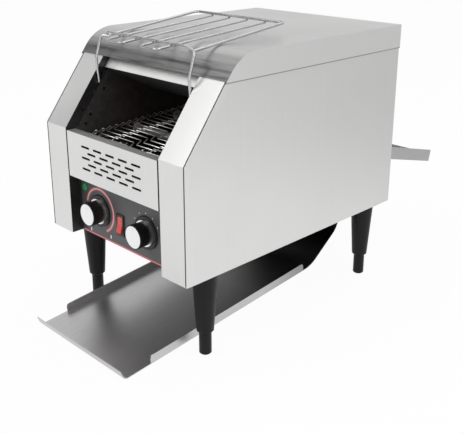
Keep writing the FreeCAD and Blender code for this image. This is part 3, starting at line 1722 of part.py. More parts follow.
make_top_cover()
make_side_panel("right_side_panel", 1)
make_side_panel("left_side_panel", -1)
make_rear_panel()
make_base_plate()
make_front_post("right_front_post", 1)
make_front_post("left_front_post", -1)
make_inner_wall("right_inner_wall", 1)
make_inner_wall("left_inner_wall", -1)
make_opening_rail()
make_upper_shield()
make_vent_panel()
make_control_panel()
make_control_overlay()

make_conveyor_belt()
make_shaft("idler_shaft", idler_y, idler_z, -of.recess_half - of.shaft_overhang)
make_shaft("drive_shaft", drive_y, drive_z, chain_x - of.shaft_overhang)
make_belt_sprockets("idler_sprockets", idler_y, idler_z)
make_belt_sprockets("drive_sprockets", drive_y, drive_z)
make_shaft_bushes()
make_chain_sprocket("shaft_chain_sprocket", drive_y, drive_z, shaft_bore)
make_chain_sprocket("motor_chain_sprocket", motor_y, motor_z, of.motor_shaft_radius + of.running_gap)
make_drive_chain()
make_gearmotor()
make_motor_shaft()
make_quartz_heaters()
make_heater_holders()
make_upper_reflector()
make_crumb_shield()

for name, (spot_x, spot_z) in zip(("speed", "mode"), knob_spots):
    make_knob(name + "_knob", spot_x, spot_z)
    make_knob_trim(name + "_knob_trim", spot_x, spot_z)
    make_spindle(name + "_spindle", spot_x, spot_z)
make_knob_controls()
make_switch_housing()
make_switch_rocker()
make_pilot_lens()
make_pilot_body()

make_toast_slide()
make_rear_tray()
make_inner_rails()
corner_names = ("front_left", "rear_left", "front_right", "rear_right")
for name, (spot_x, spot_y) in zip(corner_names, leg_spots):
    make_leg(name + "_leg", spot_x, spot_y)
    make_foot(name + "_foot", spot_x, spot_y)
make_leg_plates()
make_bread_rack()

make_fan_housing()
make_fan_rotor()
make_fan_guard()
make_cable_gland()
make_control_board()
make_terminal_block()
make_case_fasteners()


doc.recompute()
for item in doc.Objects:
    if "Invalid" in item.State or "Error" in item.State:
        raise ValueError("%s failed: %s" % (item.Label, item.State))
os.makedirs("parts", exist_ok=True)
for piece in pieces:
    shape = piece.Shape
    if shape.isNull() or not shape.isValid() or not shape.Solids:
        raise ValueError(piece.Label + " has no sound solid")
for piece in pieces:
    piece.Shape.exportStep("parts/%s.step" % piece.Label)
print(len(pieces), "pieces")
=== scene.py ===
"""Looks of a countertop conveyor toaster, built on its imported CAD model."""

import json
import math

import bpy
from mathutils import Matrix, Vector


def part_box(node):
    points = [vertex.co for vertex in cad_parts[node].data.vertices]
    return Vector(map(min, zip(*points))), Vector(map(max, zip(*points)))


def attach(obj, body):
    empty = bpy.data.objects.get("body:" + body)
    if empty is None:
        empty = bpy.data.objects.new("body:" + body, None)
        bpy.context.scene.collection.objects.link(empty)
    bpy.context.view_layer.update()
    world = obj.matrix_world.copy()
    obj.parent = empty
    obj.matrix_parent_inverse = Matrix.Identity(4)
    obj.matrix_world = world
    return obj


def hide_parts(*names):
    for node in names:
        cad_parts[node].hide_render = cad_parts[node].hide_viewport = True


bl_info = {
    "name": "Conveyor Toaster",
    "version": (1, 0, 0),
    "blender": (4, 5, 0),
    "location": "View3D > Sidebar > Toaster",
    "description": "Finishes and wire work of a conveyor toaster",
    "category": "Object",
}

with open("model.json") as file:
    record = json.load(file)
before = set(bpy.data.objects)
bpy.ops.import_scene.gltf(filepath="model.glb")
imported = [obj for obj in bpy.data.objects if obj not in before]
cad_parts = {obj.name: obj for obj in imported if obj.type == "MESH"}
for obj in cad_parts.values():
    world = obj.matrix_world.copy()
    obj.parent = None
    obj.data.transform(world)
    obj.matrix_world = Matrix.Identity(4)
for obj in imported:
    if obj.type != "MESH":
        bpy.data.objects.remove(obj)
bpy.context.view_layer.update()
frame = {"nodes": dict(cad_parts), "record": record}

CASE = "case"

# Nearly all values of a noise lie in this span
NOISE_LOW, NOISE_HIGH = 0.3, 0.7

# Node trees


def start(name, colour, roughness, metallic=0.0, **sockets):
    """A new material whose shader has its even values; returns it with its tree and shader."""
    material = bpy.data.materials.new(name)
    material.use_nodes = True
    tree = material.node_tree
    shader = tree.nodes["Principled BSDF"]
    shader.inputs["Base Color"].default_value = (*colour, 1.0)
    shader.inputs["Roughness"].default_value = roughness
    shader.inputs["Metallic"].default_value = metallic
    for key, value in sockets.items():
        shader.inputs[key.replace("_", " ")].default_value = value
    material.diffuse_color = (*colour, 1.0)
    return material, tree, shader


def add(tree, kind, settings=None, **inputs):
    """Adds a node; an input is a number, a colour or another node's output."""
    node = tree.nodes.new(kind)
    for key, value in (settings or {}).items():
        setattr(node, key, value)
    for key, value in inputs.items():
        fill(tree, node.inputs[key.replace("_", " ")], value)
    return node


def fill(tree, socket, value):
    """Links an output to a socket, or sets the socket's own value."""
    if isinstance(value, bpy.types.NodeSocket):
        tree.links.new(value, socket)
    else:
        socket.default_value = value


def sum_up(tree, operation, first, second=0.0, third=0.0):
    """One Math node's result."""
    node = add(tree, "ShaderNodeMath", {"operation": operation})
    for socket, value in zip(node.inputs, (first, second, third)):
        fill(tree, socket, value)
    return node.outputs[0]


def times(tree, first, second):
    """Two values multiplied."""
    return sum_up(tree, "MULTIPLY", first, second)


def size_of(tree, value):
    """A value without its sign."""
    return sum_up(tree, "ABSOLUTE", value)


def mean(tree, first, second, share):
    """Two values mixed, with that share of the first."""
    return sum_up(tree, "MULTIPLY_ADD", first, share, times(tree, second, 1 - share))


def spread(tree, value, low, high, to_low, to_high):
    """Maps a value from one span to another, held inside it."""
    node = add(tree, "ShaderNodeMapRange", Value=value, From_Min=low, From_Max=high, To_Min=to_low, To_Max=to_high)
    return node.outputs["Result"]


def place_of(tree):
    """X, Y and Z of a point in the piece's own coordinates, in metres."""
    source = add(tree, "ShaderNodeTexCoord").outputs["Object"]
    return add(tree, "ShaderNodeSeparateXYZ", Vector=source).outputs


def facing_of(tree):
    """X, Y and Z of the way that the surface faces."""
    source = add(tree, "ShaderNodeNewGeometry").outputs["Normal"]
    return add(tree, "ShaderNodeSeparateXYZ", Vector=source).outputs


def coordinates(tree, scale=(1, 1, 1), shift=(0, 0, 0)):
    """The piece's own coordinates in metres, scaled and moved."""
    source = add(tree, "ShaderNodeTexCoord").outputs["Object"]
    return add(tree, "ShaderNodeMapping", Vector=source, Location=shift, Scale=scale).outputs["Vector"]


def noise(tree, cells, detail=2.0, rough=0.5, shift=(0, 0, 0)):
    """Noise with so many cells for each metre, one number for every axis or one for each."""
    if not isinstance(cells, tuple):
        cells = (cells, cells, cells)
    place = coordinates(tree, cells, shift)
    return add(tree, "ShaderNodeTexNoise", Vector=place, Scale=1.0, Detail=detail, Roughness=rough).outputs["Fac"]


def blend(tree, share, first, second, mode="MIX"):
    """Mixes two colours."""
    node = add(tree, "ShaderNodeMix", {"data_type": "RGBA", "blend_type": mode}, Factor=share)
    sockets = [socket for socket in node.inputs if socket.type == "RGBA"]
    for socket, value in zip(sockets, (first, second)):
        if isinstance(value, tuple) and len(value) == 3:
            value = (*value, 1.0)
        fill(tree, socket, value)
    return next(socket for socket in node.outputs if socket.type == "RGBA")


def bump(tree, shader, height, distance, strength):
    """Raises the surface by a height pattern of that depth in metres."""
    node = add(tree, "ShaderNodeBump", Height=height, Distance=distance, Strength=strength)
    tree.links.new(node.outputs["Normal"], shader.inputs["Normal"])


def scaled(colour, share, plus=0.0):
    """A colour made darker or lighter."""
    return tuple(min(1.0, part * share + plus) for part in colour)


def lined(tree, pattern, colour, darker, lighter):
    """A colour that a pattern varies between two shares of it."""
    share = spread(tree, pattern, NOISE_LOW, NOISE_HIGH, 0, 1)
    return blend(tree, share, scaled(colour, darker), scaled(colour, lighter))


def patched(tree, tone, other, pattern, most, low=NOISE_LOW, high=NOISE_HIGH):
    """Another colour over a tone where a pattern is high, mixed in by that share at most."""
    return blend(tree, spread(tree, pattern, low, high, 0, most), tone, other)


def surfaced(tree, shader, tone, pattern, least, most, low=NOISE_LOW, high=NOISE_HIGH):
    """Links a finish's colour, and its roughness, which a pattern varies."""
    tree.links.new(tone, shader.inputs["Base Color"])
    tree.links.new(spread(tree, pattern, low, high, least, most), shader.inputs["Roughness"])


# Finishes

WIRE_CELLS = 300
SOOT_CELLS = 38
SOOT_BROWN = (0.10, 0.075, 0.055)
# Near black painted on the posts' returns as their reflection of the dark control panel
PAINTED_RETURN_REFLECTION = (0.065, 0.062, 0.062)
# Near black painted over the belt's lower run as the shade beneath the upper run
LOWER_RUN_SHADE = (0.02, 0.018, 0.016)
BURNT_BROWN = (0.42, 0.30, 0.19)
BRUSH_CELLS, BRUSH_CELLS_ALONG = 700, 5
BAND_CELLS, BAND_CELLS_ALONG = BRUSH_CELLS / 6, 2
CLOUD_CELLS = 7

# Depths of the surface patterns in metres
RING_GRAIN, SHALLOW, FINE_GRAIN, BRUSH_GRAIN = 0.000006, 0.00001, 0.00003, 0.00004
PEEL_DEPTH, SPECK_DEPTH = 0.00005, 0.00006

# Spans over which a look fades in or out. ACROSS and NOSE_UP say how far a surface faces along X and Z; the
# others are metres: NOSE_END and the painted shade under the case along Y, RECESS_SIDE from the middle, and
# the painted shade line at the side lips' foot over the floor
ACROSS = (0.5, 0.8)
NOSE_UP = (0.64, 0.96)
NOSE_END = (0.1, 0.15)
RECESS_SIDE = (0.0966, 0.0969)
LIP_SHADE_SPAN = (0.3556, 0.3560)
SHADE_UNDER_CASE_FROM = (-0.06, 0.08)
SHADE_UNDER_CASE_TO = (0.125, 0.14)
RUN_HALF_SPAN = 0.004
SHADE_EDGE_DRIFT = 0.05
# How strong each painted mark of reflection and shade is, and its tone as a share of the metal's colour
NOSE_REFLECTION_SHARE, NOSE_REFLECTION_TONE = 0.85, 0.27
REFLECTION_STREAK_SPAN, REFLECTION_STREAK_SHARE, REFLECTION_STREAK_TONE = (0.48, 0.7), 0.8, 0.1
LIP_SHADE_SHARE, LIP_SHADE_TONE = 0.7, 0.25
SHADE_UNDER_CASE_TONE = 0.13
LIP_METALLIC = 0.8


def brushed_metal(name, colour, roughness, along, contrast=0.12, metallic=1.0):
    """Sheet with fine brush lines along one axis, soft clouds and uneven sheen."""
    material, tree, shader = start(name, colour, roughness, metallic)
    fine = noise(tree, tuple(BRUSH_CELLS_ALONG if axis == along else BRUSH_CELLS for axis in "XYZ"), detail=3)
    bands = noise(tree, tuple(BAND_CELLS_ALONG if axis == along else BAND_CELLS for axis in "XYZ"), detail=2)
    clouds = noise(tree, CLOUD_CELLS, detail=3)
    share = spread(tree, mean(tree, fine, bands, 0.5), 0.25, 0.75, 0, 1)
    tone = blend(tree, share, scaled(colour, 1 - contrast), scaled(colour, 1 + contrast))
    tone = patched(tree, tone, scaled(colour, 0.95), clouds, most=0.35)
    surfaced(tree, shader, tone, mean(tree, clouds, fine, 0.4), least=roughness - 0.06, most=roughness + 0.08)
    bump(tree, shader, fine, BRUSH_GRAIN, strength=0.5)
    return material


def cover_metal(name, colour, side_colour, roughness, side_roughness):
    """Brushed cover: lines across its top and nose, and smooth side lips; the nose carries a painted dark
    reflection with darker painted streaks, and a painted shade line runs along the lips' foot.
    """
    material, tree, shader = start(name, colour, roughness, metallic=1.0)
    place, facing = place_of(tree), facing_of(tree)
    lip = spread(tree, size_of(tree, facing["X"]), *ACROSS, 0, 1)
    fine = noise(tree, (4, 420, 420), detail=3)
    streaks = noise(tree, (9, 130, 130), detail=3, rough=0.6)
    clouds = noise(tree, CLOUD_CELLS, detail=3)
    front = spread(tree, place["Y"], *NOSE_END, 1, 0)
    nose_reflection_shade = times(tree, front, spread(tree, facing["Z"], *NOSE_UP, 1, 0))
    tone = lined(tree, fine, colour, darker=0.94, lighter=1.05)
    tone = patched(tree, tone, scaled(colour, 0.88), clouds, most=0.5)
    # Painted dark reflection on the nose, where it turns from the top towards the front, with darker painted
    # streaks in it
    tone = blend(tree, times(tree, nose_reflection_shade, NOSE_REFLECTION_SHARE), tone, scaled(colour, NOSE_REFLECTION_TONE))
    reflection_streaks = times(tree, nose_reflection_shade, spread(tree, streaks, *REFLECTION_STREAK_SPAN, 0, REFLECTION_STREAK_SHARE))
    tone = blend(tree, reflection_streaks, tone, scaled(colour, REFLECTION_STREAK_TONE))
    tone = blend(tree, lip, tone, side_colour)
    # Painted shade of the gap: a dark line along the foot of the side lips, where they meet the side panels
    lip_foot_shade = times(tree, lip, spread(tree, place["Z"], *LIP_SHADE_SPAN, LIP_SHADE_SHARE, 0))
    tone = blend(tree, lip_foot_shade, tone, scaled(side_colour, LIP_SHADE_TONE))
    tree.links.new(tone, shader.inputs["Base Color"])
    sheen = spread(tree, clouds, NOISE_LOW, NOISE_HIGH, roughness - 0.04, roughness + 0.06)
    tree.links.new(spread(tree, lip, 0, 1, sheen, side_roughness), shader.inputs["Roughness"])
    tree.links.new(spread(tree, lip, 0, 1, 1.0, LIP_METALLIC), shader.inputs["Metallic"])
    bump(tree, shader, times(tree, fine, spread(tree, lip, 0, 1, 1, 0)), SHALLOW, strength=0.5)
    return material


def case_metal(name, colour, roughness):
    """Satin panels; the posts' returns inside the recess carry a painted dark reflection of the control panel."""
    material, tree, shader = start(name, colour, roughness, metallic=0.85)
    place, facing = place_of(tree), facing_of(tree)
    fine = noise(tree, (BRUSH_CELLS, BRUSH_CELLS, BRUSH_CELLS_ALONG), detail=3)
    clouds = noise(tree, CLOUD_CELLS, detail=3)
    tone = lined(tree, fine, colour, darker=0.985, lighter=1.015)
    tone = patched(tree, tone, scaled(colour, 0.95), clouds, most=0.35)
    in_recess = spread(tree, size_of(tree, place["X"]), *RECESS_SIDE, 1, 0)
    across = spread(tree, size_of(tree, facing["X"]), *ACROSS, 0, 1)
    # Painted dark reflection of the control panel on the posts' returns, which face across inside the recess
    tone = blend(tree, times(tree, in_recess, across), tone, PAINTED_RETURN_REFLECTION)
    surfaced(tree, shader, tone, clouds, least=roughness - 0.04, most=roughness + 0.06)
    bump(tree, shader, fine, SHALLOW, strength=0.5)
    return material


def wire_metal(name, colour, roughness, soot_share=0.0, sooted_run=None):
    """Drawn wire with faint lines and a little burnt-on soot; a belt's lower run can be painted near black as
    shade beneath its upper run.

    sooted_run is the belt's slope along Y and the height, over the origin, that parts its two runs.
    """
    material, tree, shader = start(name, colour, roughness, metallic=1.0)
    fine = noise(tree, WIRE_CELLS, detail=2)
    soot = noise(tree, SOOT_CELLS, detail=4, rough=0.6)
    tone = lined(tree, fine, colour, darker=0.86, lighter=1.05)
    tone = patched(tree, tone, SOOT_BROWN, soot, soot_share, low=0.5)
    if sooted_run:
        slope, level = sooted_run
        place = place_of(tree)
        height = sum_up(tree, "MULTIPLY_ADD", place["Y"], -slope, place["Z"])
        lower = spread(tree, height, level - RUN_HALF_SPAN, level + RUN_HALF_SPAN, 1, 0)
        # Painted shade: the belt's lower run, which lies beneath the upper run, is coloured near black
        tone = blend(tree, lower, tone, LOWER_RUN_SHADE)
    surfaced(tree, shader, tone, soot, least=roughness, most=roughness + 0.25, low=0.4)
    bump(tree, shader, fine, FINE_GRAIN, strength=0.3)
    return material


def slide_with_painted_shade(name, colour, roughness):
    """Satin sheet brushed along Y, with painted shade where it runs in under the case."""
    material, tree, shader = start(name, colour, roughness, metallic=1.0)
    fine = noise(tree, (500, 5, 500), detail=3)
    clouds = noise(tree, 6, detail=3)
    along = place_of(tree)["Y"]
    # Painted shade under the case: darker from the case's front rearwards, with a cloudy edge, fading out again
    # near the rear
    painted_case_shade = spread(tree, sum_up(tree, "MULTIPLY_ADD", clouds, SHADE_EDGE_DRIFT, along), *SHADE_UNDER_CASE_FROM, 0, 1)
    painted_case_shade = times(tree, painted_case_shade, spread(tree, along, *SHADE_UNDER_CASE_TO, 1, 0))
    tone = lined(tree, fine, colour, darker=0.95, lighter=1.05)
    tone = patched(tree, tone, scaled(colour, 0.85), clouds, most=0.5)
    tone = blend(tree, painted_case_shade, tone, scaled(colour, SHADE_UNDER_CASE_TONE))
    surfaced(tree, shader, tone, clouds, least=roughness - 0.03, most=roughness + 0.07)
    bump(tree, shader, fine, SHALLOW, strength=0.4)
    return material


def heat_stained_metal(name, colour, roughness):
    """Steel that has gone brown and blue with heat, with soot in patches."""
    material, tree, shader = start(name, colour, roughness, metallic=0.9)
    patches = noise(tree, 14, detail=4, rough=0.6)
    soot = noise(tree, 45, detail=4, rough=0.6, shift=(3, 1, 2))
    fine = noise(tree, (8, 600, 600), detail=2)
    browned = (colour[0] * 1.2, colour[1] * 0.92, colour[2] * 0.72)
    tone = patched(tree, colour, browned, patches, most=1, low=0.4, high=0.62)
    tone = patched(tree, tone, scaled(colour, 0.35), soot, most=0.65, low=0.48, high=0.66)
    tone = patched(tree, tone, scaled(colour, 1.5), fine, most=0.25)
    surfaced(tree, shader, tone, soot, least=roughness, most=roughness + 0.3, low=0.35)
    bump(tree, shader, fine, BRUSH_GRAIN, strength=0.4)
    return material


def moulded_plastic(name, colour, roughness, grain=1500.0, depth=0.00003, wear=0.12, **sockets):
    """Moulded plastic with a fine grain and faint handling marks."""
    material, tree, shader = start(name, colour, roughness, metallic=0.0, **sockets)
    cells = add(tree, "ShaderNodeTexVoronoi", Vector=coordinates(tree), Scale=grain).outputs["Distance"]
    rub = noise(tree, 22, detail=4, rough=0.6)
    lines = noise(tree, (420, 420, 60), detail=2)
    tone = patched(tree, colour, scaled(colour, 1.6, plus=0.03), rub, wear, low=0.45, high=0.72)
    surfaced(tree, shader, tone, mean(tree, lines, rub, 0.3), least=roughness - 0.05, most=roughness + 0.09,
             low=0.35, high=0.65)
    bump(tree, shader, cells, depth, strength=0.5)
    return material


def painted_sheet(name, colour, roughness):
    """Baked paint with a fine orange peel and light scuffs."""
    material, tree, shader = start(name, colour, roughness)
    peel = noise(tree, 450, detail=2)
    scuffs = noise(tree, (30, 160, 30), detail=4, rough=0.65)
    tone = patched(tree, colour, scaled(colour, 1.5, plus=0.02), scuffs, most=0.35, low=0.52, high=0.75)
    surfaced(tree, shader, tone, scuffs, least=roughness - 0.04, most=roughness + 0.12, low=0.4)
    bump(tree, shader, peel, PEEL_DEPTH, strength=0.4)
    return material


def zinc_plate(name, colour, roughness):
    """Zinc plating with its crystals."""
    material, tree, shader = start(name, colour, roughness, metallic=0.85)
    cells = add(tree, "ShaderNodeTexVoronoi", Vector=coordinates(tree), Scale=180.0).outputs["Color"]
    value = add(tree, "ShaderNodeSeparateColor", Color=cells).outputs["Red"]
    haze = noise(tree, 60, detail=3)
    tone = blend(tree, value, scaled(colour, 0.82), scaled(colour, 1.08))
    surfaced(tree, shader, tone, haze, least=roughness - 0.08, most=roughness + 0.1)
    bump(tree, shader, value, SHALLOW, strength=0.3)
    return material


def turned_metal(name, colour, roughness, axis="X", centre=(0, 0, 0)):
    """Metal turned on a lathe: fine rings round an axis through the centre."""
    material, tree, shader = start(name, colour, roughness, metallic=1.0)
    place = coordinates(tree, shift=tuple(-part for part in centre))
    parts = add(tree, "ShaderNodeSeparateXYZ", Vector=place).outputs
    squares = [sum_up(tree, "POWER", parts[part], 2.0) for part in "XYZ" if part != axis]
    radius = sum_up(tree, "SQRT", sum_up(tree, "ADD", *squares))
    flat = add(tree, "ShaderNodeCombineXYZ", X=radius, Y=parts[axis]).outputs[0]
    ring = add(tree, "ShaderNodeTexNoise", {"noise_dimensions": "2D"}, Vector=flat, Scale=1800.0,
               Detail=2.0).outputs["Fac"]
    haze = noise(tree, 50, detail=3)
    tone = lined(tree, ring, colour, darker=0.95, lighter=1.03)
    surfaced(tree, shader, tone, haze, least=roughness - 0.04, most=roughness + 0.1)
    bump(tree, shader, ring, RING_GRAIN, strength=0.3)
    return material


def milky_quartz(name, colour, roughness):
    """Clouded quartz tube."""
    material, tree, shader = start(name, colour, roughness, metallic=0.0, Transmission_Weight=0.75, IOR=1.46)
    streak = noise(tree, (20, 500, 500), detail=3)
    tone = patched(tree, scaled(colour, 0.86), colour, streak, most=1, low=0.35, high=0.65)
    surfaced(tree, shader, tone, streak, least=roughness - 0.06, most=roughness + 0.12, low=0.35, high=0.65)
    return material


def fired_ceramic(name, colour, roughness):
    """Unglazed ceramic with specks and brown marks from the heat."""
    material, tree, shader = start(name, colour, roughness)
    specks = noise(tree, 900, detail=3)
    burn = noise(tree, 60, detail=3)
    tone = patched(tree, colour, scaled(colour, 0.55), specks, most=0.5, low=0.62)
    tone = patched(tree, tone, BURNT_BROWN, burn, most=0.5, low=0.52)
    surfaced(tree, shader, tone, specks, least=roughness - 0.1, most=roughness + 0.1)
    bump(tree, shader, specks, SPECK_DEPTH, strength=0.5)
    return material


def lacquered_board(name, colour, roughness):
    """Circuit board: copper tracks under green lacquer."""
    material, tree, shader = start(name, colour, roughness)
    white, black = (1, 1, 1, 1), (0, 0, 0, 1)
    tracks = add(tree, "ShaderNodeTexBrick", {"offset": 0.5}, Vector=coordinates(tree, shift=(0.003, 0.001, 0)),
                 Scale=130.0, Mortar_Size=0.06, Color1=white, Color2=white, Mortar=black).outputs["Color"]
    haze = noise(tree, 90, detail=3)
    tone = blend(tree, tracks, scaled(colour, 1.9), colour)
    tone = patched(tree, tone, scaled(colour, 0.6), haze, most=0.25, low=0.4)
    surfaced(tree, shader, tone, haze, least=roughness - 0.07, most=roughness + 0.1)
    bump(tree, shader, tracks, PEEL_DEPTH, strength=0.4)
    return material


# The control panel's film: places and sizes of its marks over X and Z, in metres
SPEED_KNOB = (-0.052, 0, 0.1585)
MODE_KNOB = (0.046, 0, 0.1565)
ARC_CENTRE = (-0.0522, 0.1592)
ARC_MIDDLE, ARC_HALF = math.radians(50.5), math.radians(116.5)
ARC_SOLID, ARC_END = 0.38, 0.55
ARC_CORE_SHARE, ARC_CORE_MIX = 0.45, 0.6
ARC_CORE_PINK = (0.95, 0.6, 0.6)
EDGE_LINE = (0.1209, 0.1213)
BARS = (((-0.0755, 0.1252), (0.0011, 0.0026)), ((-0.0305, 0.1268), (0.0012, 0.0026)))
BAR_WHITE = (0.82, 0.82, 0.78)
TICK_RADIUS = 0.0262
TICK_HALF_SIZE = (0.0006, 0.0010)
TICK_TURNS = range(-60, 61, 30)
TICK_WHITE = (0.75, 0.75, 0.73)
BAR_BLUR, TURN_BLUR = 0.0002, 0.02


def arc_mask(tree, place, radius, width):
    """One where the point lies on the speed knob's arc."""
    x = sum_up(tree, "SUBTRACT", place["X"], ARC_CENTRE[0])
    z = sum_up(tree, "SUBTRACT", place["Z"], ARC_CENTRE[1])
    reach = sum_up(tree, "SQRT", sum_up(tree, "ADD", sum_up(tree, "POWER", x, 2.0), sum_up(tree, "POWER", z, 2.0)))
    off = size_of(tree, sum_up(tree, "SUBTRACT", reach, radius))
    on_ring = spread(tree, off, width * ARC_SOLID, width * ARC_END, 1, 0)
    cosine, sine = math.cos(ARC_MIDDLE), math.sin(ARC_MIDDLE)
    along = sum_up(tree, "ADD", times(tree, x, cosine), times(tree, z, sine))
    across = sum_up(tree, "SUBTRACT", times(tree, z, cosine), times(tree, x, sine))
    turn = size_of(tree, sum_up(tree, "ARCTAN2", across, along))
    return times(tree, on_ring, spread(tree, turn, ARC_HALF - TURN_BLUR, ARC_HALF + TURN_BLUR, 1, 0))


def bar_mask(tree, place, centre, half_size):
    """One inside a small upright bar."""
    inside = []
    for axis, middle, half in zip("XZ", centre, half_size):
        off = size_of(tree, sum_up(tree, "SUBTRACT", place[axis], middle))
        inside.append(spread(tree, off, half - BAR_BLUR, half + BAR_BLUR, 1, 0))
    return times(tree, *inside)


def printed_film(name, control):
    """The control panel's film: dark grey, with a red arc, a red edge line and plain white marks."""
    ground = tuple(control.film_colour)
    red = tuple(control.print_colour)
    material, tree, shader = start(name, ground, 0.42)
    place = place_of(tree)
    grain = noise(tree, 900, detail=2)
    haze = noise(tree, 18, detail=3)
    tone = patched(tree, ground, scaled(ground, 0.8), haze, most=0.5, low=0.35)
    tone = blend(tree, arc_mask(tree, place, control.arc_radius, control.arc_width), tone, red)
    core = arc_mask(tree, place, control.arc_radius, control.arc_width * ARC_CORE_SHARE)
    tone = blend(tree, times(tree, core, ARC_CORE_MIX), tone, ARC_CORE_PINK)
    tone = blend(tree, spread(tree, place["Z"], *EDGE_LINE, 1, 0), tone, red)
    for centre, half_size in BARS:
        tone = blend(tree, bar_mask(tree, place, centre, half_size), tone, BAR_WHITE)
    for turn in TICK_TURNS:
        angle = math.radians(90 - turn)
        centre = (MODE_KNOB[0] + TICK_RADIUS * math.cos(angle), MODE_KNOB[2] + TICK_RADIUS * math.sin(angle))
        tone = blend(tree, bar_mask(tree, place, centre, TICK_HALF_SIZE), tone, TICK_WHITE)
    surfaced(tree, shader, tone, grain, least=0.36, most=0.5)
    bump(tree, shader, grain, FINE_GRAIN, strength=0.4)
    return material


# Each slot's finish: its maker, colour, roughness and further values
FINISH_ROWS = {
    "rail_steel": (brushed_metal, (0.86, 0.86, 0.85), 0.45, {"along": "X", "contrast": 0.03, "metallic": 0.6}),
    "inner_steel": (brushed_metal, (0.12, 0.12, 0.118), 0.45, {"along": "Y"}),
    "slide_steel": (slide_with_painted_shade, (0.58, 0.57, 0.57), 0.33, {}),
    "hot_steel": (heat_stained_metal, (0.085, 0.082, 0.08), 0.5, {}),
    "shield_black": (painted_sheet, (0.035, 0.035, 0.036), 0.5, {}),
    "control_grey": (painted_sheet, (0.06, 0.06, 0.063), 0.45, {}),
    "plate_black": (painted_sheet, (0.02, 0.02, 0.02), 0.5, {}),
    "belt_wire": (wire_metal, (0.93, 0.92, 0.90), 0.28, {"soot_share": 0.3, "sooted_run": (0.0538, 0.2558)}),
    "rack_chrome": (wire_metal, (0.52, 0.52, 0.53), 0.14, {}),
    "chain_steel": (wire_metal, (0.24, 0.23, 0.22), 0.35, {"soot_share": 0.6}),
    "shaft_steel": (turned_metal, (0.56, 0.56, 0.56), 0.3, {}),
    "bush_brass": (turned_metal, (0.72, 0.50, 0.20), 0.3, {}),
    "knob_bright": (turned_metal, (0.88, 0.88, 0.88), 0.28, {"axis": "Y", "centre": SPEED_KNOB}),
    "motor_zinc": (zinc_plate, (0.58, 0.59, 0.60), 0.4, {}),
    "fastener_zinc": (zinc_plate, (0.66, 0.66, 0.65), 0.35, {}),
    "reflector_bright": (brushed_metal, (0.82, 0.82, 0.82), 0.2, {"along": "X", "contrast": 0.08}),
    "quartz": (milky_quartz, (0.88, 0.87, 0.84), 0.22, {}),
    "ceramic": (fired_ceramic, (0.80, 0.77, 0.70), 0.7, {}),
    "board_green": (lacquered_board, (0.03, 0.16, 0.07), 0.35, {}),
    "knob_black": (moulded_plastic, (0.006, 0.006, 0.006), 0.25, {"wear": 0.05, "Specular_IOR_Level": 0.3}),
    "control_black": (moulded_plastic, (0.014, 0.014, 0.014), 0.38, {}),
    "fan_black": (moulded_plastic, (0.018, 0.018, 0.018), 0.45, {}),
    "leg_black": (moulded_plastic, (0.008, 0.008, 0.008), 0.42,
                  {"grain": 1100, "depth": 0.00006, "Specular_IOR_Level": 0.2}),
    "terminal_cream": (moulded_plastic, (0.74, 0.69, 0.55), 0.45, {}),
}
ROCKER_VALUES = {"depth": 0.00001, "wear": 0.25, "Coat_Weight": 0.5}
PILOT_VALUES = {"grain": 600, "depth": 0.00005, "Transmission_Weight": 0.35, "IOR": 1.49}
FINISHES = {}


def make_finish(slot_name, new_name=None, **changes):
    """Makes the finish that a slot's row asks for, under the slot's name or another."""
    maker, colour, roughness, values = FINISH_ROWS[slot_name]
    return maker(new_name or slot_name, colour, roughness, **{**values, **changes})


def finish_for(slot_name):
    """The finish of one of the record's material slots."""
    if slot_name not in FINISHES:
        raise RuntimeError("no finish was made for the slot " + slot_name)
    return FINISHES[slot_name]


def dress(*names, finish=None):
    """Gives CAD nodes the finish of their slot, or another one."""
    slots = {row["node"]: row["material_slot"] for row in frame["record"]["subparts"]}
    for name in names:
        mesh = frame["nodes"][name].data
        mesh.materials.clear()
        mesh.materials.append(finish or finish_for(slots[name]))


# Shapes

# The belt's wire: its strands' lift over the bare radius, sides and shading, then lengths in metres
WIRE_CLEARANCE = 1.2
WIRE_SIDES = 6
SMOOTH_ANGLE = math.radians(50)
STRAND_LEAN, EDGE_LOOP = 0.0025, 0.005
BEND_ROUNDING, LONGEST_STEP = 0.0012, 0.0045
LEAST_TURN = 1e-6


def clear_selection():
    """Selects nothing."""
    bpy.ops.object.select_all(action="DESELECT")


def pull_wire(name, points, radius, sides):
    """A wire along points: a round face, pulled from point to point."""
    first, second = Vector(points[0]), Vector(points[1])
    heading = (second - first).normalized()
    clear_selection()
    bpy.ops.mesh.primitive_circle_add(vertices=sides, radius=radius, location=first, fill_type="NGON",
                                      rotation=(second - first).to_track_quat("Z", "Y").to_euler())
    wire = bpy.context.object
    wire.name = name
    wire.data.name = name
    bpy.ops.object.transform_apply(location=True, rotation=True, scale=True)
    bpy.ops.object.mode_set(mode="EDIT")
    bpy.ops.mesh.select_all(action="SELECT")
    for index in range(1, len(points)):
        here = Vector(points[index])
        step = here - Vector(points[index - 1])
        bpy.ops.mesh.extrude_region_move(TRANSFORM_OT_translate={"value": step})
        if index + 1 < len(points):
            onward = (Vector(points[index + 1]) - here).normalized()
            middle = (step.normalized() + onward).normalized()
            turn_ring(heading, middle, here)
            heading = middle
    bpy.ops.mesh.select_all(action="SELECT")
    bpy.ops.mesh.normals_make_consistent(inside=False)
    bpy.ops.object.mode_set(mode="OBJECT")
    return wire


def turn_ring(heading, wanted, centre):
    """Turns the selected ring so that it faces a new way."""
    turn = heading.rotation_difference(wanted)
    if turn.angle < LEAST_TURN:
        return
    mesh = bpy.context.object.data
    bpy.ops.object.mode_set(mode="OBJECT")
    matrix = Matrix.Translation(centre) @ turn.to_matrix().to_4x4() @ Matrix.Translation(-centre)
    for vertex in mesh.vertices:
        if vertex.select:
            vertex.co = matrix @ vertex.co
    bpy.ops.object.mode_set(mode="EDIT")


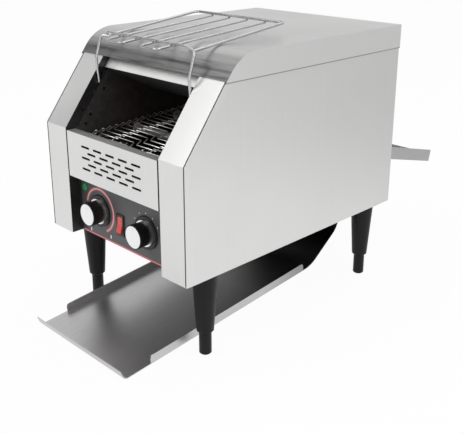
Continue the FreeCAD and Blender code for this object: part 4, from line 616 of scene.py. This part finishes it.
def gathered(name, pieces):
    """Joins pieces into one under a name."""
    clear_selection()
    for piece in pieces:
        piece.select_set(True)
    bpy.context.view_layer.objects.active = pieces[0]
    bpy.ops.object.join()
    whole = bpy.context.object
    whole.name = name
    whole.data.name = name
    return whole


def carried(piece, body, slot_name, *stands_for):
    """Finishes a new piece: gives it a slot's finish, hangs it on a body and hides the CAD parts that it stands
    for.
    """
    piece.data.materials.clear()
    piece.data.materials.append(finish_for(slot_name))
    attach(piece, body)
    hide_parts(*stands_for)


# Sizes and colours that a user may change


class ToasterCaseLook(bpy.types.PropertyGroup):
    """Steel of the case."""

    panel_colour: bpy.props.FloatVectorProperty(
        name="Panels", description="Colour of the side panels and posts", subtype="COLOR",
        default=(0.735, 0.735, 0.73), min=0, max=1)
    cover_colour: bpy.props.FloatVectorProperty(
        name="Cover", description="Colour of the brushed top cover", subtype="COLOR",
        default=(0.62, 0.62, 0.615), min=0, max=1)
    panel_roughness: bpy.props.FloatProperty(
        name="Panel roughness", description="How satin the panels are", subtype="FACTOR",
        default=0.36, min=0.1, max=1)
    cover_roughness: bpy.props.FloatProperty(
        name="Cover roughness", description="How satin the cover is", subtype="FACTOR",
        default=0.34, min=0.1, max=1)


class ToasterControlLook(bpy.types.PropertyGroup):
    """Printed film, knobs and switch."""

    film_colour: bpy.props.FloatVectorProperty(
        name="Film", description="Ground colour of the control panel's film", subtype="COLOR",
        default=(0.085, 0.083, 0.088), min=0, max=1)
    print_colour: bpy.props.FloatVectorProperty(
        name="Print", description="Colour of the printed arc and edge line", subtype="COLOR",
        default=(0.66, 0.17, 0.19), min=0, max=1)
    arc_radius: bpy.props.FloatProperty(
        name="Arc radius", description="Radius of the printed arc", unit="LENGTH", default=0.0296)
    arc_width: bpy.props.FloatProperty(
        name="Arc width", description="Width of the printed arc", unit="LENGTH", default=0.0042)
    rocker_colour: bpy.props.FloatVectorProperty(
        name="Rocker", description="Colour of the switch's rocker", subtype="COLOR",
        default=(0.70, 0.035, 0.02), min=0, max=1)
    pilot_colour: bpy.props.FloatVectorProperty(
        name="Pilot light", description="Colour of the pilot light's lens", subtype="COLOR",
        default=(0.01, 0.36, 0.12), min=0, max=1)


class ToasterBeltLook(bpy.types.PropertyGroup):
    """Wire belt."""

    wire_radius: bpy.props.FloatProperty(
        name="Wire radius", description="Radius of the belt's wire", unit="LENGTH", default=0.0008)
    strand_pitch: bpy.props.FloatProperty(
        name="Strand pitch", description="Distance from strand to strand", unit="LENGTH", default=0.0115)
    hook: bpy.props.FloatProperty(
        name="Hook", description="How far a strand reaches past its neighbour", unit="LENGTH", default=0.0006)
    cells_across: bpy.props.IntProperty(
        name="Cells across", description="How many cells lie side by side on the belt", default=4, min=2, max=20)


class ToasterStageLook(bpy.types.PropertyGroup):
    """Camera and light."""

    azimuth: bpy.props.FloatProperty(
        name="Azimuth", description="Camera's turn round the toaster, from its front", subtype="ANGLE",
        default=math.radians(45.0))
    elevation: bpy.props.FloatProperty(
        name="Elevation", description="Camera's height over the floor as an angle", subtype="ANGLE",
        default=math.radians(18.77))
    sky_strength: bpy.props.FloatProperty(
        name="Sky", description="Strength of the even light from all round", default=0.62, min=0, max=2)


def look(name):
    """One of the scene's groups of sizes and colours."""
    return getattr(bpy.context.scene, "toaster_" + name)


# Operators


class TOASTER_OT_finishes(bpy.types.Operator):
    """Makes the finishes of the record's material slots."""

    bl_idname = "toaster.finishes"
    bl_label = "Make finishes"

    def execute(self, context):
        case = look("case")
        control = look("control")
        panel = tuple(case.panel_colour)
        FINISHES["case_steel"] = case_metal("case_steel", panel, case.panel_roughness)
        FINISHES["cover_steel"] = cover_metal("cover_steel", tuple(case.cover_colour), panel, case.cover_roughness,
                                              case.panel_roughness)
        FINISHES["overlay_print"] = printed_film("overlay_print", control)
        FINISHES["rocker_red"] = moulded_plastic("rocker_red", tuple(control.rocker_colour), 0.2, **ROCKER_VALUES)
        FINISHES["pilot_green"] = moulded_plastic("pilot_green", tuple(control.pilot_colour), 0.12, **PILOT_VALUES)
        for slot_name in FINISH_ROWS:
            FINISHES[slot_name] = make_finish(slot_name)
        return {"FINISHED"}


class TOASTER_OT_case(bpy.types.Operator):
    """Dresses the cover, panels, posts, rail and base."""

    bl_idname = "toaster.case"
    bl_label = "Finish case"

    def execute(self, context):
        dress("top_cover", "right_side_panel", "left_side_panel", "rear_panel", "base_plate",
              "right_front_post", "left_front_post", "opening_top_rail", "front_vent_panel", "case_fasteners")
        return {"FINISHED"}


class TOASTER_OT_chamber(bpy.types.Operator):
    """Dresses the toasting chamber: walls, shields, reflector and heaters."""

    bl_idname = "toaster.chamber"
    bl_label = "Finish chamber"

    def execute(self, context):
        dress("right_inner_wall", "left_inner_wall", "upper_heat_shield", "upper_reflector", "crumb_shield",
              "quartz_heaters", "heater_holders")
        return {"FINISHED"}


class TOASTER_OT_controls(bpy.types.Operator):
    """Dresses the control panel, knobs, switch and pilot light."""

    bl_idname = "toaster.controls"
    bl_label = "Finish controls"

    def execute(self, context):
        dress("control_panel", "control_overlay", "knob_controls", "switch_housing", "switch_rocker",
              "pilot_lens", "pilot_body", "speed_knob", "speed_knob_trim", "speed_spindle",
              "mode_knob", "mode_spindle")
        dress("mode_knob_trim", finish=make_finish("knob_bright", "knob_bright_right", centre=MODE_KNOB))
        return {"FINISHED"}


class TOASTER_OT_drive(bpy.types.Operator):
    """Dresses the motor, shafts, sprockets, chain and bushes."""

    bl_idname = "toaster.drive"
    bl_label = "Finish drive"

    def execute(self, context):
        dress("idler_shaft", "drive_shaft", "idler_sprockets", "drive_sprockets", "shaft_bushes",
              "shaft_chain_sprocket", "motor_chain_sprocket", "drive_chain", "gearmotor", "motor_shaft")
        return {"FINISHED"}


class TOASTER_OT_toast_path(bpy.types.Operator):
    """Dresses the toast slide, the rear tray, their strips and the bread rack."""

    bl_idname = "toaster.toast_path"
    bl_label = "Finish toast path"

    def execute(self, context):
        dress("toast_slide", "rear_tray", "inner_rails", "bread_rack")
        return {"FINISHED"}


class TOASTER_OT_legs(bpy.types.Operator):
    """Dresses the legs, feet and leg plates."""

    bl_idname = "toaster.legs"
    bl_label = "Finish legs"

    def execute(self, context):
        dress("leg_plates")
        for corner in ("front_left", "front_right", "rear_left", "rear_right"):
            dress(corner + "_leg", corner + "_foot")
        return {"FINISHED"}


class TOASTER_OT_electrics(bpy.types.Operator):
    """Dresses the fan, board, terminals and cable gland."""

    bl_idname = "toaster.electrics"
    bl_label = "Finish electrics"

    def execute(self, context):
        dress("fan_housing", "fan_rotor", "fan_guard", "cable_gland", "control_board", "terminal_block")
        return {"FINISHED"}


class TOASTER_OT_belt(bpy.types.Operator):
    """Bends the belt's wire strands and lays them round both shafts."""

    bl_idname = "toaster.belt"
    bl_label = "Make wire belt"

    def execute(self, context):
        belt = look("belt")
        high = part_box("conveyor_belt")[1]
        idler = shaft_centre("idler_shaft")
        run = shaft_centre("drive_shaft") - idler
        lift = belt.wire_radius * WIRE_CLEARANCE
        radius = high.y - idler.y - run.y - belt.wire_radius - lift
        total = 2 * run.length + 2 * math.pi * radius
        count = round(total / belt.strand_pitch)
        outline = strand_outline(belt, high.x - lift, lift)
        strands = []
        for index in range(count):
            points = [belt_point(idler, run, radius, total * index / count, spot) for spot in outline]
            strands.append(pull_wire("belt_strand", points, belt.wire_radius, WIRE_SIDES))
        whole = gathered("belt_strands", strands)
        bpy.ops.object.shade_smooth_by_angle(angle=SMOOTH_ANGLE)
        carried(whole, CASE, "belt_wire", "conveyor_belt")
        return {"FINISHED"}


def strand_outline(belt, half, lift):
    """Bends of one strand, laid flat: by turns on its front and rear line, hooked into its neighbours."""
    step = (belt.strand_pitch + belt.hook) / 2
    edge = half - STRAND_LEAN
    cell = 2 * (edge - EDGE_LOOP) / belt.cells_across
    columns = [-edge] + [EDGE_LOOP - edge + cell * index for index in range(belt.cells_across + 1)] + [edge]
    bends = []
    for index, column in enumerate(columns):
        ends = [Vector((column + STRAND_LEAN, -step, -lift)), Vector((column - STRAND_LEAN, step, lift))]
        bends += ends if index % 2 == 0 else ends[::-1]
    rounded = [bends[0]]
    for before, here, after in zip(bends, bends[1:], bends[2:]):
        rounded.append(here + (before - here).normalized() * BEND_ROUNDING)
        rounded.append(here + (after - here).normalized() * BEND_ROUNDING)
    rounded.append(bends[-1])
    points = [rounded[0]]
    for before, here in zip(rounded, rounded[1:]):
        parts = max(1, math.ceil(abs(here.y - before.y) / LONGEST_STEP))
        points += [before.lerp(here, part / parts) for part in range(1, parts + 1)]
    return points


def belt_point(idler, run, radius, start, spot):
    """A flat strand's point laid on the belt's closed path, which starts over the idler shaft."""
    reach, around = run.length, math.pi * radius
    travel = (start + spot.y) % (2 * (reach + around))
    slope = math.atan2(run.z, run.y)
    if travel < reach:
        centre, turn = idler + run * (travel / reach), slope
    elif travel < reach + around:
        centre, turn = idler + run, slope - (travel - reach) / radius
    elif travel < 2 * reach + around:
        centre, turn = idler + run * (2 - (travel - around) / reach), slope - math.pi
    else:
        centre, turn = idler, slope - math.pi - (travel - 2 * reach - around) / radius
    return centre + Vector((spot.x, 0, 0)) + Vector((0, -math.sin(turn), math.cos(turn))) * (radius + spot.z)


def shaft_centre(name):
    """Middle of a shaft across the toaster."""
    low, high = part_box(name)
    return Vector((0, (low.y + high.y) / 2, (low.z + high.z) / 2))


# Stage

# Each lamp's name, place, side and power; all of them face the same point
LAMPS = (
    ("key_lamp", (-1.1, -1.9, 2.0), 1.6, 20),
    ("right_lamp", (2.3, -0.5, 1.3), 1.4, 14),
    ("top_lamp", (0.2, 0.6, 2.4), 1.8, 12),
)
LAMP_TARGET = Vector((0, 0, 0.2))
FLOOR_SIZE, FLOOR_LEVEL = 60, -0.0004
FLOOR_GREY = (0.86, 0.86, 0.86)
FLOOR_SEEN_SHARE = 0.95
# Metal sees the floor dimmer towards the rear: places along Y, then strengths
FLOOR_DIMMING = (0.15, 0.95, 1.0, 0.6)
WHITE = (1, 1, 1, 1)
# Heights of the mirrored sky's ramp and how bright each is
SKY_STOPS = ((0.0, 1.0), (0.12, 0.95), (0.30, 0.78), (0.42, 0.62), (0.62, 0.95), (0.75, 0.85), (1.0, 0.55))
# A dark flag that the polished front mirrors: its way, then how it fades out
FLAG_WAY = Vector((-0.68, -0.66, 0.30)).normalized()
FLAG_FADE = (0.78, 0.97, 1.0, 0.22)
# The camera that was fitted to the photograph: pixels, then metres and angles
PHOTO_WIDTH, PHOTO_HEIGHT = 463, 434
FOCAL_LENGTH = 760.0
AXIS_ACROSS, AXIS_DOWN = 231.5, 171.0
CAMERA_MIDDLE = Vector((0, -0.066, 0.2))
CAMERA_DISTANCE, CAMERA_RIGHT, CAMERA_UP = 1.1045, 0.00495, -0.01718
CAMERA_ROLL = math.radians(0.08)
SENSOR_WIDTH = 36
CLIP_START, CLIP_END = 0.05, 80


def area_lamp(name, place, side, power):
    """A large soft lamp that faces the toaster."""
    clear_selection()
    bpy.ops.object.light_add(type="AREA", location=place)
    lamp = bpy.context.object
    lamp.name = name
    lamp.data.shape = "RECTANGLE"
    lamp.data.size = lamp.data.size_y = side
    lamp.data.energy = power
    lamp.rotation_euler = (LAMP_TARGET - Vector(place)).to_track_quat("-Z", "Y").to_euler()


def mixed_shader(tree, share, first, second):
    """One shader's output where the share is nought, and the other's where it is one."""
    node = add(tree, "ShaderNodeMixShader", Fac=share)
    tree.links.new(first, node.inputs[1])
    tree.links.new(second, node.inputs[2])
    return node.outputs[0]


def mirrored_ray(tree, path):
    """One for rays that a mirroring or clear surface sends on."""
    return sum_up(tree, "MAXIMUM", path["Is Glossy Ray"], path["Is Transmission Ray"])


class TOASTER_OT_stage(bpy.types.Operator):
    """Makes the floor, the soft light and the camera."""

    bl_idname = "toaster.stage"
    bl_label = "Make stage"

    def execute(self, context):
        self.make_floor()
        self.make_sky()
        for row in LAMPS:
            area_lamp(*row)
        self.make_camera()
        context.scene.view_settings.view_transform = "Standard"
        return {"FINISHED"}

    def make_floor(self):
        """A white floor that keeps the object's soft shadow."""
        clear_selection()
        bpy.ops.mesh.primitive_plane_add(size=FLOOR_SIZE, location=(0, 0, FLOOR_LEVEL))
        floor = bpy.context.object
        floor.name = "floor"
        material, tree, shader = start("floor_white", FLOOR_GREY, 0.9, Specular_IOR_Level=0.0)
        path = add(tree, "ShaderNodeLightPath").outputs
        seen = sum_up(tree, "MAXIMUM", path["Is Camera Ray"], mirrored_ray(tree, path))
        dimmed = spread(tree, place_of(tree)["Y"], *FLOOR_DIMMING)
        strength = sum_up(tree, "MAXIMUM", path["Is Camera Ray"], dimmed)
        white = add(tree, "ShaderNodeEmission", Color=WHITE, Strength=strength)
        shown = mixed_shader(tree, times(tree, seen, FLOOR_SEEN_SHARE), shader.outputs[0], white.outputs[0])
        tree.links.new(shown, tree.nodes["Material Output"].inputs["Surface"])
        floor.data.materials.append(material)

    def make_sky(self):
        """Even light from all round; polished metal sees a white horizon and a greyer ceiling."""
        world = bpy.data.worlds.new("studio")
        bpy.context.scene.world = world
        world.use_nodes = True
        tree = world.node_tree
        tree.nodes.clear()
        way = add(tree, "ShaderNodeTexCoord").outputs["Generated"]
        height = add(tree, "ShaderNodeSeparateXYZ", Vector=way).outputs["Z"]
        ramp = add(tree, "ShaderNodeValToRGB", Fac=height)
        stops = ramp.color_ramp.elements
        for stop, (place, value) in zip(stops, (SKY_STOPS[0], SKY_STOPS[-1])):
            stop.position, stop.color = place, (value, value, value, 1)
        for place, value in SKY_STOPS[1:-1]:
            stops.new(place).color = (value, value, value, 1)
        flag = add(tree, "ShaderNodeVectorMath", {"operation": "DOT_PRODUCT"})
        fill(tree, flag.inputs[0], way)
        flag.inputs[1].default_value = FLAG_WAY
        shade = spread(tree, flag.outputs["Value"], *FLAG_FADE)
        seen = blend(tree, 1.0, ramp.outputs["Color"], shade, "MULTIPLY")
        path = add(tree, "ShaderNodeLightPath").outputs
        even = add(tree, "ShaderNodeBackground", Color=WHITE, Strength=look("stage").sky_strength)
        mirrored = add(tree, "ShaderNodeBackground", Color=seen, Strength=1.0)
        white = add(tree, "ShaderNodeBackground", Color=WHITE, Strength=1.0)
        lit = mixed_shader(tree, mirrored_ray(tree, path), even.outputs[0], mirrored.outputs[0])
        output = add(tree, "ShaderNodeOutputWorld")
        tree.links.new(mixed_shader(tree, path["Is Camera Ray"], lit, white.outputs[0]), output.inputs["Surface"])

    def make_camera(self):
        """A camera at the photograph's place."""
        stage = look("stage")
        azimuth, elevation = stage.azimuth, stage.elevation
        back = Vector((math.sin(azimuth) * math.cos(elevation), -math.cos(azimuth) * math.cos(elevation),
                       math.sin(elevation)))
        right = Vector((math.cos(azimuth), math.sin(azimuth), 0))
        up = back.cross(right)
        place = back * CAMERA_DISTANCE + right * CAMERA_RIGHT + up * CAMERA_UP + CAMERA_MIDDLE
        turned = Matrix.Rotation(CAMERA_ROLL, 3, back)
        right, up = turned @ right, turned @ up
        clear_selection()
        bpy.ops.object.camera_add(location=place)
        camera = bpy.context.object
        camera.name = "photo_camera"
        camera.rotation_euler = Matrix((right, up, back)).transposed().to_euler()
        camera.data.sensor_width = SENSOR_WIDTH
        camera.data.lens = FOCAL_LENGTH / PHOTO_WIDTH * SENSOR_WIDTH
        camera.data.shift_x = (PHOTO_WIDTH / 2 - AXIS_ACROSS) / PHOTO_WIDTH
        camera.data.shift_y = (AXIS_DOWN - PHOTO_HEIGHT / 2) / PHOTO_WIDTH
        camera.data.clip_start = CLIP_START
        camera.data.clip_end = CLIP_END
        bpy.context.scene.camera = camera


class TOASTER_PT_panel(bpy.types.Panel):
    """Lists the steps in the 3D view's sidebar."""

    bl_idname = "TOASTER_PT_panel"
    bl_label = "Conveyor toaster"
    bl_space_type = "VIEW_3D"
    bl_region_type = "UI"
    bl_category = "Toaster"

    def draw(self, context):
        for operator in OPERATORS:
            self.layout.operator(operator.bl_idname)


LOOKS = {"case": ToasterCaseLook, "control": ToasterControlLook, "belt": ToasterBeltLook,
         "stage": ToasterStageLook}
OPERATORS = (TOASTER_OT_finishes, TOASTER_OT_case, TOASTER_OT_chamber, TOASTER_OT_controls, TOASTER_OT_drive,
             TOASTER_OT_toast_path, TOASTER_OT_legs, TOASTER_OT_electrics, TOASTER_OT_belt, TOASTER_OT_stage)


def register():
    """Registers the groups, operators and panel."""
    for name, group in LOOKS.items():
        bpy.utils.register_class(group)
        setattr(bpy.types.Scene, "toaster_" + name, bpy.props.PointerProperty(type=group))
    for operator in OPERATORS:
        bpy.utils.register_class(operator)
    bpy.utils.register_class(TOASTER_PT_panel)


def unregister():
    """Takes the panel, operators and groups off again."""
    bpy.utils.unregister_class(TOASTER_PT_panel)
    for operator in reversed(OPERATORS):
        bpy.utils.unregister_class(operator)
    for name, group in LOOKS.items():
        delattr(bpy.types.Scene, "toaster_" + name)
        bpy.utils.unregister_class(group)


def main():
    """Runs every step in order."""
    register()
    bpy.ops.toaster.finishes()
    bpy.ops.toaster.case()
    bpy.ops.toaster.chamber()
    bpy.ops.toaster.controls()
    bpy.ops.toaster.drive()
    bpy.ops.toaster.toast_path()
    bpy.ops.toaster.legs()
    bpy.ops.toaster.electrics()
    bpy.ops.toaster.belt()
    bpy.ops.toaster.stage()


if __name__ == "__main__":
    main()
